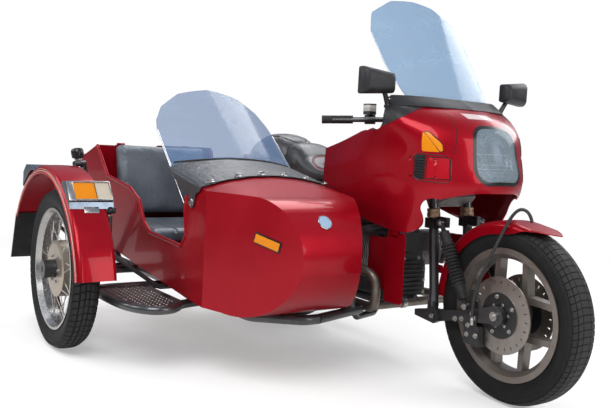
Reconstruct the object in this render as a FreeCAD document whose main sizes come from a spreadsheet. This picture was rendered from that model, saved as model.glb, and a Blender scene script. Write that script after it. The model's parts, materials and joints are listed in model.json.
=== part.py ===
import FreeCAD, Part
import math
import os
import Sketcher

Vec = FreeCAD.Vector
Rot = FreeCAD.Rotation
Place = FreeCAD.Placement
doc = FreeCAD.newDocument("sidecarOutfit")


# ---- sizes (mm and degrees), kept in one sheet ----

sizeTable = (
    # name, value, what it is
    ("wheelBase", 1465, "rear axle to front axle"),
    ("wheelRadius", 330, "both wheels of the motorcycle"),
    ("frontTyreWidth", 120, ""),
    ("rearTyreWidth", 126, ""),
    ("rimFlange", 246, "outer radius of the cast rims"),
    ("rimSeat", 232, "radius the tyre bead sits on"),
    ("rimHalf", 45, "half the width of a cast rim"),
    ("rimWell", 214, "inner radius of a cast rim"),
    ("hubRadius", 46, "hub of a cast wheel"),
    ("hubHalf", 55, "half the width of the front hub"),
    ("axleRadius", 10, ""),
    ("discRadius", 142, ""),
    ("discInner", 84, ""),
    ("discOffset", 59.5, "wheel middle to the inner face of a brake disc"),
    ("discThick", 5, ""),
    ("sideRadius", 335, "sidecar wheel"),
    ("sideTyreWidth", 106, ""),
    ("sideFlange", 254, "outer radius of the sidecar rim"),
    ("sideSeat", 244, ""),
    ("sideRimHalf", 45, ""),
    ("sideHubRadius", 118, "brake drum of the sidecar wheel"),
    ("sideLead", 120, "sidecar axle ahead of the rear axle"),
    ("sideTrack", 1251, "motorcycle middle to sidecar wheel middle"),
    ("rake", 27, "steering axis from upright"),
    ("trail", 60, "steering axis ahead of the front contact, on the ground"),
    ("restSteer", -3.8, "steering angle it stands at"),
    ("forkHalf", 90, "middle to each fork leg"),
    ("legRadius", 19, ""),
    ("armInner", 71, "middle to the inner face of a fork arm"),
    ("armThick", 19, ""),
    ("shockHalf", 102, "middle to each front shock absorber"),
    ("engineHalf", 115, "half the width of the crankcase"),
    ("cylinderReach", 370, "middle to the outside of a rocker cover"),
    ("cylinderHeight", 470, ""),
    ("bodyCentre", 618, "motorcycle middle to sidecar body middle"),
    ("bodyHalf", 312, "half the width of the sidecar body"),
    ("bodyWall", 5, "thickness of the sidecar body"),
    ("fairingWall", 5, "thickness of the fairing"),
    ("frameTube", 19, "radius of the sidecar frame tubes"),
    ("stepTube", 17, "radius of the step tube"),
)


class Dim:
    """A size that remembers the sheet formula it comes from."""

    def __init__(self, value, text):
        self.value = value
        self.text = text

    def join(self, sign, other, value):
        text = other.text if isinstance(other, Dim) else "%.6g" % other
        return Dim(value, "(%s %s %s)" % (self.text, sign, text))

    def __add__(self, other):
        return self.join("+", other, self.value + num(other))

    def __sub__(self, other):
        return self.join("-", other, self.value - num(other))

    def __mul__(self, other):
        return self.join("*", other, self.value * num(other))

    def __truediv__(self, other):
        return self.join("/", other, self.value / num(other))

    def __neg__(self):
        return self * -1


def num(amount):
    return amount.value if isinstance(amount, Dim) else amount


sheet = doc.addObject("Spreadsheet::Sheet", "dims")
size = {}
for row, (name, value, note) in enumerate(sizeTable, 1):
    sheet.set("A%d" % row, name)
    sheet.set("B%d" % row, str(value))
    sheet.set("C%d" % row, note)
    sheet.setAlias("B%d" % row, name)
    size[name] = Dim(value, "dims." + name)
doc.recompute()


# ---- building blocks ----

nodes = {}


def bind(item, prop, amount):
    setattr(item, prop, num(amount))
    if isinstance(amount, Dim):
        item.setExpression(prop, amount.text)


def put(item, x, y, z, axis=(0, 0, 1), angle=0):
    item.Placement = Place(Vec(num(x), num(y), num(z)), Rot(Vec(*axis), angle))
    for letter, amount in (("x", x), ("y", y), ("z", z)):
        if isinstance(amount, Dim):
            item.setExpression("Placement.Base." + letter, amount.text)
    return item


def box(x, y, z, length, width, height, axis=(0, 0, 1), angle=0):
    item = doc.addObject("Part::Box", "box")
    for prop, amount in (("Length", length), ("Width", width), ("Height", height)):
        bind(item, prop, amount)
    return put(item, x, y, z, axis, angle)


def cylinder(radius, length, x, y, z, axis=(0, 0, 1), angle=0):
    item = doc.addObject("Part::Cylinder", "cylinder")
    bind(item, "Radius", radius)
    bind(item, "Height", length)
    return put(item, x, y, z, axis, angle)


def crossRod(radius, length, x, y, z):
    """A cylinder that runs to the left from its start."""
    return cylinder(radius, length, x, y, z, (1, 0, 0), -90)


def longRod(radius, length, x, y, z):
    """A cylinder that runs forward from its start."""
    return cylinder(radius, length, x, y, z, (0, 1, 0), 90)


def fuse(*items):
    item = doc.addObject("Part::MultiFuse", "joined")
    item.Shapes = list(items)
    return item


def cut(base, *tools):
    item = doc.addObject("Part::Cut", "trimmed")
    item.Base = base
    item.Tool = tools[0] if len(tools) == 1 else fuse(*tools)
    return item


def common(base, tool):
    item = doc.addObject("Part::Common", "overlap")
    item.Base = base
    item.Tool = tool
    return item


def apart(*items):
    """Solids of one piece that do not touch."""
    item = doc.addObject("Part::Compound", "set")
    item.Links = list(items)
    return item


def mirrored(source, middle=0):
    item = doc.addObject("Part::Mirroring", "mirrored")
    item.Source = source
    item.Normal = Vec(0, 1, 0)
    item.Base = Vec(0, num(middle), 0)
    if isinstance(middle, Dim):
        item.setExpression("Base.y", middle.text)
    return item


def both(item, middle=0):
    return apart(item, mirrored(item, middle))


def shaped(shape):
    item = doc.addObject("Part::Feature", "shape")
    item.Shape = shape
    return item


def node(name, item):
    item.Label = name
    nodes[name] = item
    return item


def largest(shape, count=1):
    """The biggest solids of a shape, without the slivers a cut leaves."""
    solids = sorted(shape.Solids, key=lambda solid: -solid.Volume)[:count]
    return solids[0] if count == 1 else Part.makeCompound(solids)


# ---- shapes that only functions can make ----

def wireOf(points):
    """Closed outline; a point written with a middle point first is reached by an arc."""
    edges, start = [], Vec(*points[0])
    for entry in list(points[1:]) + [points[0]]:
        if isinstance(entry[0], tuple):
            middle, end = Vec(*entry[0]), Vec(*entry[1])
            edges.append(Part.Arc(start, middle, end).toShape())
        else:
            end = Vec(*entry)
            if start.distanceToPoint(end) > 1e-6:
                edges.append(Part.makeLine(start, end))
        start = end
    return Part.Wire(edges)


def lift(point, axis, level):
    """Two coordinates and the level along the third axis."""
    if isinstance(point[0], tuple):
        return tuple(lift(p, axis, level) for p in point)
    first, second = point
    return {"x": (level, first, second), "y": (first, level, second), "z": (first, second, level)}[axis]


def prism(points, axis, start, end):
    direction = {"x": Vec(1, 0, 0), "y": Vec(0, 1, 0), "z": Vec(0, 0, 1)}[axis]
    wire = wireOf([lift(p, axis, start) for p in points])
    return Part.Face(wire).extrude(direction * (end - start))


def rounded(points, radius):
    """Outline in two coordinates with every corner turned into an arc."""
    outline, count = [], len(points)
    for index in range(count):
        corner = Vec(*points[index], 0)
        before = (Vec(*points[index - 1], 0) - corner).normalize()
        after = (Vec(*points[(index + 1) % count], 0) - corner).normalize()
        half = before.getAngle(after) / 2
        reach = radius / math.tan(half)
        first, last = corner + before * reach, corner + after * reach
        middle = corner + (before + after).normalize() * (radius / math.sin(half) - radius)
        outline.append((first.x, first.y))
        outline.append(((middle.x, middle.y), (last.x, last.y)))
    return outline


def bentTube(points, radius, bend):
    """Round bar along straight runs joined by arcs."""
    points = [Vec(*p) for p in points]
    edges, start = [], points[0]
    for before, corner, after in zip(points, points[1:], points[2:]):
        back = (before - corner).normalize()
        ahead = (after - corner).normalize()
        half = back.getAngle(ahead) / 2
        reach = bend / math.tan(half)
        first, last = corner + back * reach, corner + ahead * reach
        middle = corner + (back + ahead).normalize() * (bend / math.sin(half) - bend)
        edges.append(Part.makeLine(start, first))
        edges.append(Part.Arc(first, middle, last).toShape())
        start = last
    edges.append(Part.makeLine(start, points[-1]))
    profile = Part.Wire(Part.makeCircle(radius, points[0], points[1] - points[0]))
    return Part.Wire(edges).makePipeShell([profile], True, False)


def straightTube(start, end, radius):
    start, end = Vec(*start), Vec(*end)
    return Part.makeCylinder(radius, (end - start).Length, start, end - start)


def joined(*shapes):
    return shapes[0].fuse(list(shapes[1:])).removeSplitter()


def flipped(shape, middle=0.0):
    return shape.mirror(Vec(0, middle, 0), Vec(0, 1, 0))


def loft(sections):
    """Smooth solid through level outlines: open curve round the front, straight at the back."""
    wires = []
    for points in sections:
        curve = Part.BSplineCurve()
        curve.interpolate([Vec(*p) for p in points])
        wires.append(Part.Wire([curve.toShape(), Part.makeLine(Vec(*points[-1]), Vec(*points[0]))]))
    return Part.makeLoft(wires, True, False)


# ---- sketched bodies ----

def newBody():
    return doc.addObject("PartDesign::Body", "body")


def sketchOn(body, role):
    sketch = body.newObject("Sketcher::SketchObject", "outline")
    plane = [f for f in body.Origin.OriginFeatures if f.Role == role][0]
    sketch.AttachmentSupport = (plane, [""])
    sketch.MapMode = "FlatFace"
    return sketch


def fix(sketch, kind, geometry, point, amount):
    """Hold one coordinate of a point at a size, on its own side of the origin."""
    value = num(amount)
    if abs(value) < 1e-9:
        fixed = Sketcher.Constraint("PointOnObject", geometry, point, -2 if kind == "DistanceX" else -1)
        sketch.addConstraint(fixed)
        return
    ends = (-1, 1, geometry, point) if value > 0 else (geometry, point, -1, 1)
    index = sketch.addConstraint(Sketcher.Constraint(kind, *ends, abs(value)))
    if isinstance(amount, Dim):
        sketch.setExpression("Constraints[%d]" % index, amount.text if value > 0 else (-amount).text)


def outline(sketch, points):
    """Closed outline; a third number is the radius of the arc that reaches the point."""
    ends = []
    for index, here in enumerate(points):
        target = points[(index + 1) % len(points)]
        start = Vec(num(here[0]), num(here[1]), 0)
        end = Vec(num(target[0]), num(target[1]), 0)
        if len(target) == 2:
            ends.append((sketch.addGeometry(Part.LineSegment(start, end)), 1, 2))
            continue
        radius = abs(target[2])
        half = (end - start) * 0.5
        side = Vec(-half.y, half.x, 0).normalize() * (1 if target[2] > 0 else -1)
        centre = start + half + side * math.sqrt(radius ** 2 - half.Length ** 2)
        angles = [math.atan2(p.y - centre.y, p.x - centre.x) for p in (start, end)]
        order = (1, 2) if target[2] > 0 else (2, 1)
        angles = angles if target[2] > 0 else angles[::-1]
        arc = Part.ArcOfCircle(Part.Circle(centre, Vec(0, 0, 1), radius), *angles)
        ends.append((sketch.addGeometry(arc),) + order)
        sketch.addConstraint(Sketcher.Constraint("Radius", ends[-1][0], radius))
    for (piece, _, last), (following, first, _) in zip(ends, ends[1:] + ends[:1]):
        sketch.addConstraint(Sketcher.Constraint("Coincident", piece, last, following, first))
    for (piece, first, _), point in zip(ends, points):
        fix(sketch, "DistanceX", piece, first, point[0])
        fix(sketch, "DistanceY", piece, first, point[1])


def circle(sketch, x, y, radius):
    index = sketch.addGeometry(Part.Circle(Vec(num(x), num(y), 0), Vec(0, 0, 1), num(radius)))
    fix(sketch, "DistanceX", index, 3, x)
    fix(sketch, "DistanceY", index, 3, y)
    held = sketch.addConstraint(Sketcher.Constraint("Radius", index, num(radius)))
    if isinstance(radius, Dim):
        sketch.setExpression("Constraints[%d]" % held, radius.text)


def turned(points):
    """Body of revolution about the left-right axis; points are (sideways, radius)."""
    body = newBody()
    sketch = sketchOn(body, "YZ_Plane")
    outline(sketch, points)
    turn = body.newObject("PartDesign::Revolution", "turn")
    turn.Profile = sketch
    turn.ReferenceAxis = (sketch, ["H_Axis"])
    turn.Angle = 360
    body.Tip = turn
    return body


def sidePlate(points, thick, start, holes=()):
    """Body padded to the left from an outline in (forward, up), starting at a level."""
    body = newBody()
    sketch = sketchOn(body, "XZ_Plane")
    outline(sketch, points)
    for x, z, radius in holes:
        circle(sketch, x, z, radius)
    pad = body.newObject("PartDesign::Pad", "pad")
    pad.Profile = sketch
    pad.Reversed = True
    bind(pad, "Length", thick)
    body.Tip = pad
    put(body, 0, start, 0)
    return body


def rimmed(half, hubHalf):
    """Cast wheel: hub, four forked spokes, rim."""
    body = newBody()
    hub = sketchOn(body, "YZ_Plane")
    bore = size["axleRadius"] + 0.6
    flange, seat, well = size["rimFlange"], size["rimSeat"], size["rimWell"]
    outline(hub, [(-hubHalf, bore), (hubHalf, bore), (hubHalf, size["hubRadius"]),
                  (-hubHalf, size["hubRadius"])])
    turn = body.newObject("PartDesign::Revolution", "hub")
    turn.Profile = hub
    turn.ReferenceAxis = (hub, ["H_Axis"])
    spoke = sketchOn(body, "XZ_Plane")
    outline(spoke, [(40, -15), (94, -13), (180, -106), (197, -92), (118, 0), (197, 92),
                    (180, 106), (94, 13), (40, 15)])
    pad = body.newObject("PartDesign::Pad", "spoke")
    pad.Profile = spoke
    pad.Midplane = True
    pad.Length = 38
    pattern = body.newObject("PartDesign::PolarPattern", "spokes")
    pattern.Originals = [pad]
    pattern.Axis = (hub, ["H_Axis"])
    pattern.Occurrences = 4
    pattern.Angle = 360
    body.Tip = pattern
    rim = sketchOn(body, "YZ_Plane")
    outline(rim, [(-half, flange), (-half, flange - 22), (-half + 22, well - 8), (half - 22, well - 8),
                  (half, flange - 22), (half, flange), (half - 5, flange), (half - 7, seat),
                  (half - 22, seat - 1), (half - 30, well + 4), (-half + 30, well + 4),
                  (-half + 22, seat - 1), (-half + 7, seat), (-half + 5, flange)])
    ring = body.newObject("PartDesign::Revolution", "rim")
    ring.Profile = rim
    ring.ReferenceAxis = (rim, ["H_Axis"])
    body.Tip = ring
    return body


def tyre(width, radius, flange, seat, rimHalf):
    half = width / 2
    crown = ((num(half) - 26) ** 2 + 4 ** 2) / 8
    return turned([
        (-rimHalf + 7.5, seat + 0.3), (rimHalf - 7.5, seat + 0.3), (rimHalf - 5.6, flange + 3),
        (rimHalf + 2, flange + 5), (half, flange + 40, 46), (half - 6, radius - 16, 60),
        (half - 26, radius - 4, 30), (0, radius, crown), (-half + 26, radius - 4, crown),
        (-half + 6, radius - 16, 30),
        (-half, flange + 40, 60), (-rimHalf - 2, flange + 5, 46), (-rimHalf + 5.6, flange + 3)])


def atWheel(x, y=0.0, z=0.0):
    """A point given from the middle of the front wheel, before the steering is turned."""
    return (num(size["wheelBase"]) + x, y, num(size["wheelRadius"]) + z)


# ---- front wheel, drawn straight ahead ----

half = size["rimHalf"]
node("front_rim", rimmed(half, size["discOffset"] - 0.3))
node("front_tyre", tyre(size["frontTyreWidth"], size["wheelRadius"], size["rimFlange"], size["rimSeat"], half))


def slottedDisc(inner, outer, thick, start):
    """Brake ring with a row of cooling slots."""
    body = newBody()
    ring = sketchOn(body, "XZ_Plane")
    circle(ring, 0, 0, outer)
    circle(ring, 0, 0, inner)
    pad = body.newObject("PartDesign::Pad", "ring")
    pad.Profile = ring
    pad.Reversed = True
    bind(pad, "Length", thick)
    body.Tip = pad
    doc.recompute()
    slot = sketchOn(body, "XZ_Plane")
    middle = (outer + inner) / 2
    outline(slot, [(middle + 16, -2), (middle + 16, 2), (middle + 4, 2), (middle + 4, -2)])
    pocket = body.newObject("PartDesign::Pocket", "slot")
    pocket.Profile = slot
    pocket.Type = "ThroughAll"
    pocket.Midplane = True
    pattern = body.newObject("PartDesign::PolarPattern", "slots")
    pattern.Originals = [pocket]
    pattern.Axis = (ring, ["N_Axis"])
    pattern.Occurrences = 24
    pattern.Angle = 360
    body.Tip = pattern
    return put(body, 0, start, 0)


carrier = cut(crossRod(size["discInner"] + 1, 8, 0, size["discOffset"], 0),
              crossRod(34, 12, 0, size["discOffset"] - 2, 0))
brakeRing = slottedDisc(size["discInner"], size["discRadius"], size["discThick"], size["discOffset"])
node("front_discs", both(fuse(brakeRing, carrier)))
frontWheel = ("front_rim", "front_tyre", "front_discs")


# ---- steering, drawn straight ahead; heights and lengths from the front axle ----

legTop, legFoot = (1087, 90, 1000), (1138, 90, 300)


def legAt(height):
    """Forward position of the fork legs at a height."""
    share = (height - legFoot[2]) / (legTop[2] - legFoot[2])
    return legFoot[0] + share * (legTop[0] - legFoot[0])


def leg(radius):
    angle = math.degrees(math.atan2(legFoot[0] - legTop[0], legTop[2] - legFoot[2]))
    length = math.hypot(legFoot[0] - legTop[0], legTop[2] - legFoot[2])
    return cylinder(radius, length, legFoot[0], size["forkHalf"], legFoot[2], (0, 1, 0), -angle)


foot = sidePlate([(-425, -88), (-310, -98), (-286, -68, 32), (-300, -38), (-302, -12), (-345, -12),
                  (-350, -46), (-425, -64)], 16, size["armInner"] + size["armThick"] + 0.3)
foot.Placement = Place(Vec(*atWheel(0)) + foot.Placement.Base, Rot())
pivot = crossRod(size["axleRadius"], 50, *atWheel(-315, 66, -68))
pivotHead = crossRod(15, 7, *atWheel(-315, 106, -68))
collar = box(legAt(629) - 25, 65, 609, 50, 50, 40)
ear = box(legAt(629) + 20, size["armInner"] + 1, 618, 54, size["armThick"] - 1, 38)
node("fork_legs", both(fuse(leg(size["legRadius"]), foot, pivot, pivotHead, collar, ear)))


def yoke(along, points):
    """Plate square to the steering axis, its middle a way up it."""
    angle = math.radians(num(size["rake"]))
    plate = prism(points, "z", -14, 14)
    plate.Placement = Place(Vec(steerFoot, 0, 0) + steerAxis * along, Rot(Vec(0, 1, 0), -math.degrees(angle)))
    return plate


steerFoot = num(size["wheelBase"]) + num(size["trail"])
slant = math.radians(num(size["rake"]))
steerAxis = Vec(-math.sin(slant), 0, math.cos(slant))
lowYoke, highYoke = 735 / math.cos(slant), 950 / math.cos(slant)
lowPlate = yoke(lowYoke, rounded([(-76, -120), (30, -60), (34, 60), (-76, 120)], 16))
highPlate = yoke(highYoke, rounded([(76, -120), (-30, -60), (-34, 60), (76, 120)], 16))
stemStart = Vec(steerFoot, 0, 0) + steerAxis * (lowYoke - 10)
stem = Part.makeCylinder(14, highYoke - lowYoke + 20, stemStart, steerAxis)
riser = straightTube((1022, 45, 952), (1004, 45, 1008), 13)
grip = Part.makeBox(34, 30, 30, Vec(986, 30, 1004))
yokes = shaped(joined(lowPlate, highPlate, stem, riser, flipped(riser), grip, flipped(grip)))
bars = ((766, 406, 1028), (903, 211, 1034), (1003, 92, 1022), (1003, -92, 1022), (903, -211, 1034),
        (766, -406, 1028))
barHole = shaped(bentTube(bars, 11.3, 40))
legHoles = both(leg(size["legRadius"] + 0.3))
node("fork_yokes", cut(yokes, barHole, legHoles))
node("handlebar", shaped(bentTube(bars, 11, 40)))

gripEnd, gripAhead = Vec(*bars[-1]), (Vec(*bars[-2]) - Vec(*bars[-1])).normalize()
sleeve = Part.makeCylinder(17, 128, gripEnd - gripAhead * 5, gripAhead)
sleeve = sleeve.cut(Part.makeCylinder(11.3, 130, gripEnd - gripAhead * 0.3, gripAhead))
node("hand_grips", shaped(Part.makeCompound([sleeve, flipped(sleeve)])))

clampStart = gripEnd + gripAhead * 170
clampBody = Part.makeCylinder(19, 44, clampStart, gripAhead)
leverFoot = clampStart + gripAhead * 20
leverPoints = (leverFoot, leverFoot + Vec(34, -12, -2), leverFoot + Vec(34, -12, -2) - gripAhead * 160)
lever = bentTube([tuple(p) for p in leverPoints], 5, 12)
control = clampBody.fuse(lever).cut(bentTube(bars, 11.3, 40))
post = Part.makeCylinder(12, 20, leverFoot + Vec(0, 0, 8), Vec(0, 0, 1))
jar = Part.makeBox(46, 40, 44, leverFoot + Vec(-23, -20, 20))
jar = jar.makeFillet(8, [e for e in jar.Edges if abs(e.tangentAt(e.FirstParameter).z) > 0.9])
rightControl = joined(control, post.cut(clampBody), jar)
node("hand_controls", shaped(Part.makeCompound([rightControl, flipped(control)])))

arm = sidePlate([(-312, -94), (-225, -68), (-20, -32), (38, 0, 38), (-20, 32, 38), (-116, -2), (-121, 22),
                 (-153, 22), (-160, -14), (-205, -24), (-312, -42), (-341, -68, 27)],
                size["armThick"], size["armInner"],
                ((0, 0, size["axleRadius"] + 0.3), (-315, -68, size["axleRadius"] + 0.3)))
arm.Placement = Place(Vec(*atWheel(0)) + arm.Placement.Base, Rot())
node("fork_arms", both(arm))

axle = crossRod(size["axleRadius"], 200, *atWheel(0, -100))
nuts = both(crossRod(17, 9.5, *atWheel(0, 90.3)))
node("front_axle", fuse(axle, nuts))


def shockAbsorber(low, high, side):
    """Eyes, rod and gaitered body between two points in the side view."""
    low, high = Vec(low[0], side, low[1]), Vec(high[0], side, high[1])
    along = (high - low).normalize()
    length = (high - low).Length
    pieces = [Part.makeCylinder(9, length, low, along)]
    for start, end, radius in ((0.08, 0.24, 21), (0.24, 0.74, 28), (0.74, 0.9, 20)):
        pieces.append(Part.makeCylinder(radius, length * (end - start), low + along * length * start, along))
    for eye in (low, high):
        pieces.append(Part.makeCylinder(14, 22.5, Vec(eye.x, 90.3, eye.z), Vec(0, 1, 0)))
    return joined(*pieces)


shock = shockAbsorber((1328, 338), (1172, 637), num(size["shockHalf"]))
node("front_shocks", shaped(Part.makeCompound([shock, flipped(shock)])))

pads = box(*atWheel(-150, 42, -134), 78, 53, 75)
slotForDisc = crossRod(size["discRadius"] + 6, size["discThick"] + 10, *atWheel(0, num(size["discOffset"]) - 5))
hanger = box(*atWheel(-142, 90.3, -70), 56, 5, 52)
node("brake_calipers", both(fuse(cut(pads, slotForDisc), hanger)))


def archSection(width, low, high, thick, corner):
    """Upside-down trough across the wheel: points are (sideways, radius)."""
    def side(w, top, bottom):
        return [(-w, bottom), (-w, top - corner), ((-w + corner * 0.3, top - corner * 0.3), (-w + corner, top - 2)),
                ((0, top), (w - corner, top - 2)), ((w - corner * 0.3, top - corner * 0.3), (w, top - corner)),
                (w, bottom)]
    outer = side(width, high, low)
    inner = side(width - thick, high - thick, low)
    return outer, inner


def trough(width, low, high, thick, corner):
    """The same trough as a face standing in the plane x = 0."""
    outer, inner = archSection(width, low, high, thick, corner)
    solid = [Part.Face(wireOf([lift(p, "x", 0) for p in points])) for points in (outer, inner)]
    return solid[0].cut(solid[1])


def arch(section, first, last):
    """Trough turned about the left-right axis between two angles, from level ahead over the top."""
    section = section.copy()
    section.rotate(Vec(0, 0, 0), Vec(0, 1, 0), 90 - first)
    return section.revolve(Vec(0, 0, 0), Vec(0, -1, 0), last - first)


section = trough(69, 297, 346, 3, 22)
fender = arch(section, 80, 178)
tipFace = section.copy()
tipFace.rotate(Vec(0, 0, 0), Vec(0, 1, 0), 10)
tip = tipFace.extrude(Vec(math.cos(math.radians(10)), 0, -math.sin(math.radians(10))) * 146)
tip = tip.cut(prism([(90, 80), (60, 80), (90, 66), ((160, 40), (205, 0)), ((160, -40), (90, -66)), (60, -80),
                     (90, -80), (260, -80), (260, 80)], "z", 200, 400))
lug = Part.makeBox(22, 4.6, 32, Vec(-334, 66.4, 100))
fender = joined(fender, tip, lug, flipped(lug))
fender = fender.cut(prism([(-60, 240), (-60, 291), ((10, 299), (60, 310)), ((92, 320), (130, 318)), (215, 306),
                           (215, 240)], "y", -100, 100))
fender.translate(Vec(*atWheel(0)))
fender = fender.cut(Part.makeBox(40, 60, 60, Vec(legAt(440) - 20, 70.7, 420)))
fender = fender.cut(Part.makeBox(40, 60, 60, Vec(legAt(440) - 20, -130.7, 420)))
node("front_fender", shaped(fender))

hose = bentTube([atWheel(-100, -101.6, -46), atWheel(-98, -106, 30), atWheel(-78, -103, 110), atWheel(10, -88, 300),
                 atWheel(52, -66, 398), atWheel(98, -46, 392), atWheel(104, -40, 351)], 6, 16)
node("brake_hose", shaped(hose))

steering = ("fork_legs", "fork_yokes", "handlebar", "hand_grips", "hand_controls", "fork_arms", "front_axle",
            "front_shocks", "brake_calipers", "front_fender", "brake_hose")


# ---- rear wheel ----

node("rear_rim", rimmed(half, 55))
node("rear_tyre", tyre(size["rearTyreWidth"], size["wheelRadius"], size["rimFlange"], size["rimSeat"], half))
rearWheel = ("rear_rim", "rear_tyre")


# ---- motorcycle frame and engine ----

headStart = Vec(steerFoot, 0, 0) + steerAxis * (lowYoke + 21)
headLength = highYoke - lowYoke - 42
head = Part.makeCylinder(30, headLength, headStart, steerAxis)
gusset = prism([(1080, 800), (1045, 905), (1000, 880), (1000, 800)], "y", -16, 16)
backbone = bentTube([(1040, 0, 850), (900, 0, 815), (700, 0, 742), (420, 0, 742)], 20, 60)
frameHalf = [
    bentTube([(1012, 14, 820), (905, 62, 800), (835, 80, 690), (835, 80, 562.5)], 14, 40),
    bentTube([(480, 0, 742), (480, 88, 742), (480, 95, 560), (440, 95, 430), (440, 95, 262)], 14, 36),
    bentTube([(440, 95, 300), (440, 95, 253.7), (845, 95, 253.7)], 16, 20),
    straightTube((440, 0, 400), (440, 95, 400), 14),
]
frame = joined(head, gusset, backbone, *frameHalf, *[flipped(tube) for tube in frameHalf])
stayHalf = [straightTube((835, 80, 700), (835, 300, 700), 9), straightTube((1245, 0, 788), (1245, 290, 788), 10)]
stays = [straightTube((1122, 0, 800), (1330, 0, 782), 12)] + stayHalf + [flipped(tube) for tube in stayHalf]

railHalf = [
    bentTube([(497, 88, 735), (300, 95, 732), (-340, 95, 732)], 12, 60),
    bentTube([(454.5, 95, 470), (300, 100, 560), (60, 112, 690), (40, 104, 722)], 11, 40),
    straightTube((-60, 0, 711), (-60, 95, 720), 11),
    straightTube((220, 0, 732), (220, 95, 732), 11),
    straightTube((-330, 0, 732), (-330, 95, 732), 11),
]
pegHalf = [straightTube((440, 100, 330), (440, 185, 318), 9), straightTube((440, 180, 318), (440, 262, 318), 15)]
frame = joined(frame, *railHalf, *pegHalf, *[flipped(tube) for tube in railHalf + pegHalf])
frame = frame.cut(Part.makeCylinder(14.3, headLength + 40, headStart - steerAxis * 20, steerAxis))

engineHalf = num(size["engineHalf"])
case = Part.makeBox(290, 2 * engineHalf, 290, Vec(560, -engineHalf, 270))
case = case.makeFillet(24, [e for e in case.Edges if abs(e.tangentAt(e.FirstParameter).x) > 0.9])
gearbox = Part.makeBox(120, 150, 170, Vec(447, -75, 290))
gearbox = gearbox.makeFillet(20, [e for e in gearbox.Edges if abs(e.tangentAt(e.FirstParameter).x) > 0.9])
cover = prism([(-88, 300), (-70, 284), (70, 284), (88, 300), (88, 400), ((0, 478), (-88, 400))], "x", 845, 902)
ribs = [Part.makeBox(10, 150, 5, Vec(901, -75, 300 + 19 * index)) for index in range(8)]
cooler = prism(rounded([(-98, 482), (98, 482), (98, 562), (-98, 562)], 12), "x", 848, 930)
node("engine_block", shaped(largest(joined(case, gearbox, cover, cooler, *ribs).cut(frame))))
airBox = prism(rounded([(470, 570), (700, 570), (700, 690), (470, 690)], 24), "y", -74, 74)

barrelPieces = [crossRod(58, 145, 0, 115.3, 0)]
barrelPieces += [crossRod(82, 4, 0, 126 + 11 * index, 0) for index in range(11)]
barrel = fuse(*barrelPieces)
headBlock = Part.makeBox(164, 74, 138, Vec(-82, 255.4, -69))
headBlock = headBlock.makeFillet(16, [e for e in headBlock.Edges if abs(e.tangentAt(e.FirstParameter).y) > 0.9])
headCuts = [Part.makeBox(200, 5, 200, Vec(-100, 266 + 12 * index, 52)) for index in range(5)]
headCuts += [Part.makeBox(200, 5, 200, Vec(-100, 266 + 12 * index, -252)) for index in range(5)]
for tool in headCuts:
    headBlock = headBlock.cut(tool)
lid = Part.makeBox(158, num(size["cylinderReach"]) - 329.4, 118, Vec(-79, 329.4, -59))
lid = lid.makeFillet(14, [e for e in lid.Edges if e.CenterOfMass.y > 331])


def eachSide(item, left, right, height):
    """The same piece on both sides, the left one further back."""
    first = apart(item)
    first.Placement = Place(Vec(left, 0, height), Rot())
    second = apart(mirrored(item))
    second.Placement = Place(Vec(right, 0, height), Rot())
    return apart(first, second)


node("cylinders", eachSide(fuse(barrel, shaped(headBlock), shaped(lid)), 765, 790, num(size["cylinderHeight"])))
carb = joined(Part.makeCylinder(24, 60, Vec(-142.3, 286, 12), Vec(1, 0, 0)),
              Part.makeCylinder(30, 60, Vec(-130, 286, -34), Vec(0, 0, 1)),
              bentTube([(-136, 286, 12), (-220, 270, 40), (-240, 120, 130), (-240, 60, 155)], 20, 60))
carbs = [airBox]
for carbSide, ahead in ((carb, 765), (flipped(carb), 790)):
    carbSide.translate(Vec(ahead, 0, num(size["cylinderHeight"])))
    carbs.append(carbSide)
doc.recompute()
carbs = joined(*carbs).cut(frame)
for cylinderSolid in nodes["cylinders"].Shape.Solids:
    carbs = carbs.cut(cylinderSolid)
node("carburettors", shaped(largest(carbs)))

header = bentTube([(866, 292, 424), (990, 264, 400), (970, 246, 262), (320, 205, 250)], 20, 52)
muffler = joined(straightTube((330, 205, 250), (300, 205, 252), 32), straightTube((300, 205, 252), (-300, 215, 290), 46),
                 straightTube((-300, 215, 290), (-330, 215.5, 292), 30))
outlet = straightTube((-332, 215.5, 292), (-290, 215, 289.5), 22)
crossPipe = straightTube((920, -243, 262), (920, 243, 262), 19)
collarPipe = straightTube((846, 296.5, 428), (868, 291.6, 423.7), 25)
pipes = joined(header, muffler, collarPipe)
pipes = joined(pipes, flipped(pipes), crossPipe).cut(outlet).cut(flipped(outlet))
for barrelSolid in nodes["cylinders"].Shape.Solids:
    pipes = pipes.cut(barrelSolid)
node("exhaust_system", shaped(largest(pipes.cut(frame))))

tank = Part.makeBox(400, 300, 180, Vec(565, -150, 765.3))
tank = tank.makeFillet(55, [e for e in tank.Edges if e.CenterOfMass.z > 800])
tunnel = bentTube([(1060, 0, 855), (900, 0, 815), (700, 0, 742), (400, 0, 742)], 23, 60)
legTunnel = [bentTube([(1022, y, 822), (905, y * 4.43, 800), (835, y * 5.71, 690), (835, y * 5.71, 560)], 17, 40)
             for y in (14, -14)]
tank = tank.cut(tunnel).cut(legTunnel[0]).cut(legTunnel[1])
cap = Part.makeCylinder(38, 22, Vec(800, 0, 940), Vec(0, 0, 1))
node("fuel_tank", shaped(joined(largest(tank), cap)))


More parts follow.
